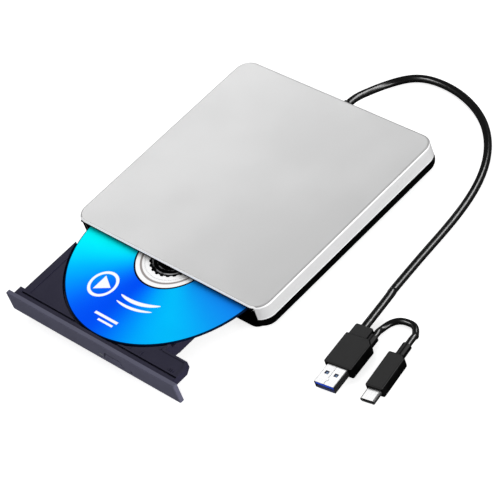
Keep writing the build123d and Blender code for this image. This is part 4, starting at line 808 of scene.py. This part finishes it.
# --------------------------------------------------------------------------
# finish of each material slot
# --------------------------------------------------------------------------
SLOTS = {
    "silver_shell": silver_shell(),
    "black_shell": grained_plastic(
        "black_shell_abs", base=grey(0.0012, blue=0.0013), grain=0.0003, depth=0.00002,
        rough=0.42, spec=0.03, edge_lift=0.04),
    "foot_rubber": rubber("foot_silicone", base=grey(0.012), rough=0.75),
    "steel_screw": turned_metal("nickel_screw", base=(0.62, 0.61, 0.59), rough=0.28),
    "foam": foam(),
    "zinc_sheet": zinc_sheet(),
    "natural_plastic": grained_plastic(
        "natural_acetal", base=(0.78, 0.76, 0.69), grain=0.0004, depth=0.00002,
        rough=0.38, spec=0.5, edge_lift=0.15, tint=0.03),
    "tray_plastic": grained_plastic(
        "tray_charcoal", base=srgb(48, 46, 68), grain=0.00028, depth=0.00004,
        rough=0.55, spec=0.16, edge_lift=0.12, tint=0.10),
    "bezel_plastic": grained_plastic(
        "bezel_charcoal", base=srgb(103, 103, 124), grain=0.00026, depth=0.00004,
        rough=0.50, spec=0.18, edge_lift=0.04, tint=0.10),
    "clear_plastic": clear_plastic(),
    "board_green": circuit_board(),
    "chip_black": chip_epoxy(),
    "flex_amber": ribbon_film(),
    "soft_damper": rubber("butyl_rubber", base=(0.035, 0.032, 0.032), rough=0.6),
    "motor_steel": turned_metal(
        "motor_plating", base=grey(0.56, blue=0.57), rough=0.3, axis=HUB),
    "turntable_black": turntable_black(),
    "claw_chrome": turned_metal(
        "claw_plating", base=grey(0.82, blue=0.83), rough=0.12, axis=HUB, dark=0.85),
    "polycarbonate_disc": disc_material(),
    "polished_rod": turned_metal(
        "ground_rod", base=grey(0.78, blue=0.79), rough=0.12, dark=0.8),
    "die_cast": grained_plastic(
        "die_cast_zinc", base=(0.40, 0.41, 0.43), grain=0.0005, depth=0.00005,
        rough=0.4, spec=0.6, edge_lift=0.3, tint=0.12),
    "lens_glass": lens_glass(),
    "lens_black": lens_mount(),
    "cable_black": cable_jacket(),
    "plug_black": plug_plastic(),
    "plug_steel": plug_steel(),
    "insert_blue": insert_blue(),
    "contact_gold": turned_metal("gold_flash", base=(0.95, 0.70, 0.30), rough=0.18, dark=0.85),
}

for node_name, piece in frame["nodes"].items():
    for slot in piece.material_slots:
        slot_name = slot.material.name.split(".")[0] if slot.material else None
        if slot_name not in SLOTS:
            raise RuntimeError(f"{node_name} has no finish for slot {slot_name}")
        slot.link = "OBJECT"
        slot.material = SLOTS[slot_name]


def make_mesh(name, verts, faces, material, smooth):
    mesh = bpy.data.meshes.new(name)
    mesh.from_pydata(verts, [], faces)
    mesh.validate()
    mesh.update()
    for polygon in mesh.polygons:
        polygon.use_smooth = smooth
    piece = bpy.data.objects.new(name, mesh)
    bpy.context.scene.collection.objects.link(piece)
    mesh.materials.append(material)
    return piece


# --------------------------------------------------------------------------
# ribbon between the chassis and the tray
# --------------------------------------------------------------------------
RIBBON_HALF_THICKNESS = 0.000075
RIBBON_BEND_INSET = 0.00055     # from the box's front to where the bend starts
RIBBON_BEND_FLATTEN = 0.95      # the bend's reach in y over its radius
RIBBON_TOP_END_Y = -0.0075
RIBBON_COLUMNS = 24
LOWER_STEPS, BEND_STEPS, UPPER_STEPS = 60, 16, 20


def ribbon_path(low, high):
    """y, z along the lower run, round the front bend, and back along the upper run."""
    bottom = low.z + RIBBON_HALF_THICKNESS
    top = high.z - RIBBON_HALF_THICKNESS
    bend_y = low.y + RIBBON_BEND_INSET
    radius = (top - bottom) / 2
    middle = (top + bottom) / 2
    path = [(high.y + (bend_y - high.y) * i / LOWER_STEPS, bottom)
            for i in range(LOWER_STEPS + 1)]
    for i in range(1, BEND_STEPS):
        angle = -math.pi / 2 - math.pi * i / BEND_STEPS
        path.append((bend_y + radius * math.cos(angle) * RIBBON_BEND_FLATTEN,
                     middle + radius * math.sin(angle)))
    path += [(bend_y + (RIBBON_TOP_END_Y - bend_y) * i / UPPER_STEPS, top)
             for i in range(UPPER_STEPS + 1)]
    return path


def flex_ribbon():
    low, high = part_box("flex_cable")
    path = ribbon_path(low, high)
    rows = len(path)
    row = RIBBON_COLUMNS + 1        # vertices in a row
    other = rows * row              # offset to the same vertex on the other side

    verts = []
    for side in (1, -1):
        for i, (y, z) in enumerate(path):
            before = path[max(0, i - 1)]
            after = path[min(rows - 1, i + 1)]
            along = Vector((after[0] - before[0], after[1] - before[1])).normalized()
            normal_y, normal_z = -along.y, along.x
            for j in range(row):
                verts.append((low.x + (high.x - low.x) * j / RIBBON_COLUMNS,
                              y + normal_y * RIBBON_HALF_THICKNESS * side,
                              z + normal_z * RIBBON_HALF_THICKNESS * side))

    faces = []
    for i in range(rows - 1):
        for j in range(RIBBON_COLUMNS):
            a = i * row + j
            faces.append((a, a + 1, a + row + 1, a + row))
            a += other
            faces.append((a, a + row, a + row + 1, a + 1))
    # long edges
    for i in range(rows - 1):
        a = i * row
        faces.append((a, a + row, a + row + other, a + other))
        a += RIBBON_COLUMNS
        faces.append((a, a + other, a + row + other, a + row))
    # ends
    for j in range(RIBBON_COLUMNS):
        a = j
        faces.append((a, a + other, a + other + 1, a + 1))
        a += (rows - 1) * row
        faces.append((a, a + 1, a + other + 1, a + other))

    ribbon = make_mesh("flex_ribbon", verts, faces, SLOTS["flex_amber"], smooth=True)
    edit = bmesh.new()
    edit.from_mesh(ribbon.data)
    bmesh.ops.recalc_face_normals(edit, faces=edit.faces)
    edit.to_mesh(ribbon.data)
    edit.free()
    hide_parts("flex_cable")
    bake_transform(ribbon)


flex_ribbon()


# --------------------------------------------------------------------------
# floor and world
# --------------------------------------------------------------------------
FLOOR_HALF = 6.0
FLOOR_Z = CAD_BOX[0][2] - 0.00002   # just below the lowest piece
FLOOR_GLOW = 0.60                   # emission seen by the camera
FLOOR_BOUNCE = 0.12                 # emission seen by all but glossy rays
WORLD_STRENGTH = 0.30
WORLD_GLOSSY_STRENGTH = 0.10        # what glossy rays see


def floor():
    """Pale glowing floor that looks dark in reflections."""
    mat = Finish("studio_floor")
    cloud = mat.noise(size=0.05)
    rays = mat.node("ShaderNodeLightPath").outputs
    glossy = rays["Is Glossy Ray"]
    pale = mat.mix(mat.span(cloud), grey(0.90), grey(0.92))
    pale = mat.mix(mat.scaled(glossy, by=0.9), pale, grey(0.03))
    bounce = mat.span(glossy, over=FULL, to=(FLOOR_BOUNCE, 0.0), linear=True)
    glow = mat.add(mat.scaled(rays["Is Camera Ray"], by=FLOOR_GLOW), bounce)
    mat.set(base=pale, rough=0.9, spec=0.0, emit=grey(1.0), emit_strength=glow)
    corners = [(x * FLOOR_HALF, y * FLOOR_HALF, FLOOR_Z)
               for x, y in ((-1, -1), (1, -1), (1, 1), (-1, 1))]
    make_mesh("studio_floor", corners, [(0, 1, 2, 3)], mat.material, smooth=False)


def white_world():
    """Even white world, dimmer in reflections."""
    world = bpy.data.worlds.new("studio")
    bpy.context.scene.world = world
    world.use_nodes = True
    nodes, links = world.node_tree.nodes, world.node_tree.links
    nodes.clear()
    output = nodes.new("ShaderNodeOutputWorld")
    background = nodes.new("ShaderNodeBackground")
    links.new(background.outputs[0], output.inputs[0])
    background.inputs["Color"].default_value = (1.0, 1.0, 1.0, 1.0)
    rays = nodes.new("ShaderNodeLightPath")
    strength = nodes.new("ShaderNodeMapRange")
    links.new(rays.outputs["Is Glossy Ray"], strength.inputs[0])
    # inputs 3 and 4 are To Min and To Max
    strength.inputs[3].default_value = WORLD_STRENGTH
    strength.inputs[4].default_value = WORLD_GLOSSY_STRENGTH
    links.new(strength.outputs[0], background.inputs["Strength"])


floor()
white_world()


# --------------------------------------------------------------------------
# lamps
# --------------------------------------------------------------------------
DRIVE_AIM = (0.03, -0.02, 0.0)
CABLE_AIM = (0.08, 0.03, 0.0)
CABLES = ("main_cable", "pigtail_cable")
GLOSS_PLACES = ((0.86, 0.56, 0.72), (0.58, 0.77, 0.79), (0.22, 0.90, 0.84), (-0.48, -0.50, 0.85))


def area(name, place, power, size, size_y=None, aim=DRIVE_AIM):
    data = bpy.data.lights.new(name, "AREA")
    data.shape = "RECTANGLE"
    data.size = size
    data.size_y = size_y or size
    data.energy = power
    lamp = bpy.data.objects.new(name, data)
    bpy.context.scene.collection.objects.link(lamp)
    lamp.location = place
    lamp.rotation_euler = (Vector(aim) - Vector(place)).to_track_quat("-Z", "Y").to_euler()
    return lamp


def cable_group(name, state):
    """Light-linking collection that includes or excludes the cables."""
    group = bpy.data.collections.new(name)
    for piece in bpy.data.objects:
        if piece.type == "MESH" and any(
                piece.name.startswith(cable + ".") or piece.name.endswith(cable)
                for cable in CABLES):
            group.objects.link(piece)
    for member in group.collection_objects:
        member.light_linking.link_state = state
    return group


key = area("key_soft", place=(-0.85, 0.55, 1.25), power=7.0, size=1.1)
area("right_soft", place=(1.35, 0.1, 0.42), power=12.0, size=0.9, size_y=0.5)
area("front_soft", place=(-0.35, -1.15, 0.8), power=1.5, size=0.8)

# the key skips the glossy cables, and a bank of small lamps draws a fine line on them instead
without_cables = cable_group("flagged_cables", "EXCLUDE")
only_cables = cable_group("glossed_cables", "INCLUDE")
bank = [area("gloss_%d" % i, place=place, power=4.6, size=0.34, aim=CABLE_AIM)
        for i, place in enumerate(GLOSS_PLACES)]
# an empty group would not single out any piece, so it is not linked
if len(without_cables.objects):
    key.light_linking.receiver_collection = without_cables
    for lamp in bank:
        lamp.light_linking.receiver_collection = only_cables


# --------------------------------------------------------------------------
# camera
# --------------------------------------------------------------------------
CAMERA_PLACE = (0.83210079507, -0.5054525479, 0.85156464106)
# the camera's own axes in the world
CAMERA_RIGHT = (0.6879998363843297, 0.6686845311490345, -0.2819879836750703)
CAMERA_UP = (-0.3429432951627406, 0.6420183727107877, 0.6857129905468569)
CAMERA_BACK = (0.639567135989692, -0.3750645369850212, 0.6710294119173575)

camera_data = bpy.data.cameras.new("camera")
camera_data.sensor_width = 36.0     # mm
camera_data.lens = 179.55           # mm
camera_data.clip_start = 0.05
camera_data.clip_end = 20.0
camera = bpy.data.objects.new("camera", camera_data)
bpy.context.scene.collection.objects.link(camera)
turn = Matrix((CAMERA_RIGHT, CAMERA_UP, CAMERA_BACK)).transposed()
camera.matrix_world = Matrix.Translation(CAMERA_PLACE) @ turn.to_4x4()
bpy.context.scene.camera = camera
bpy.context.scene.view_settings.view_transform = "Standard"
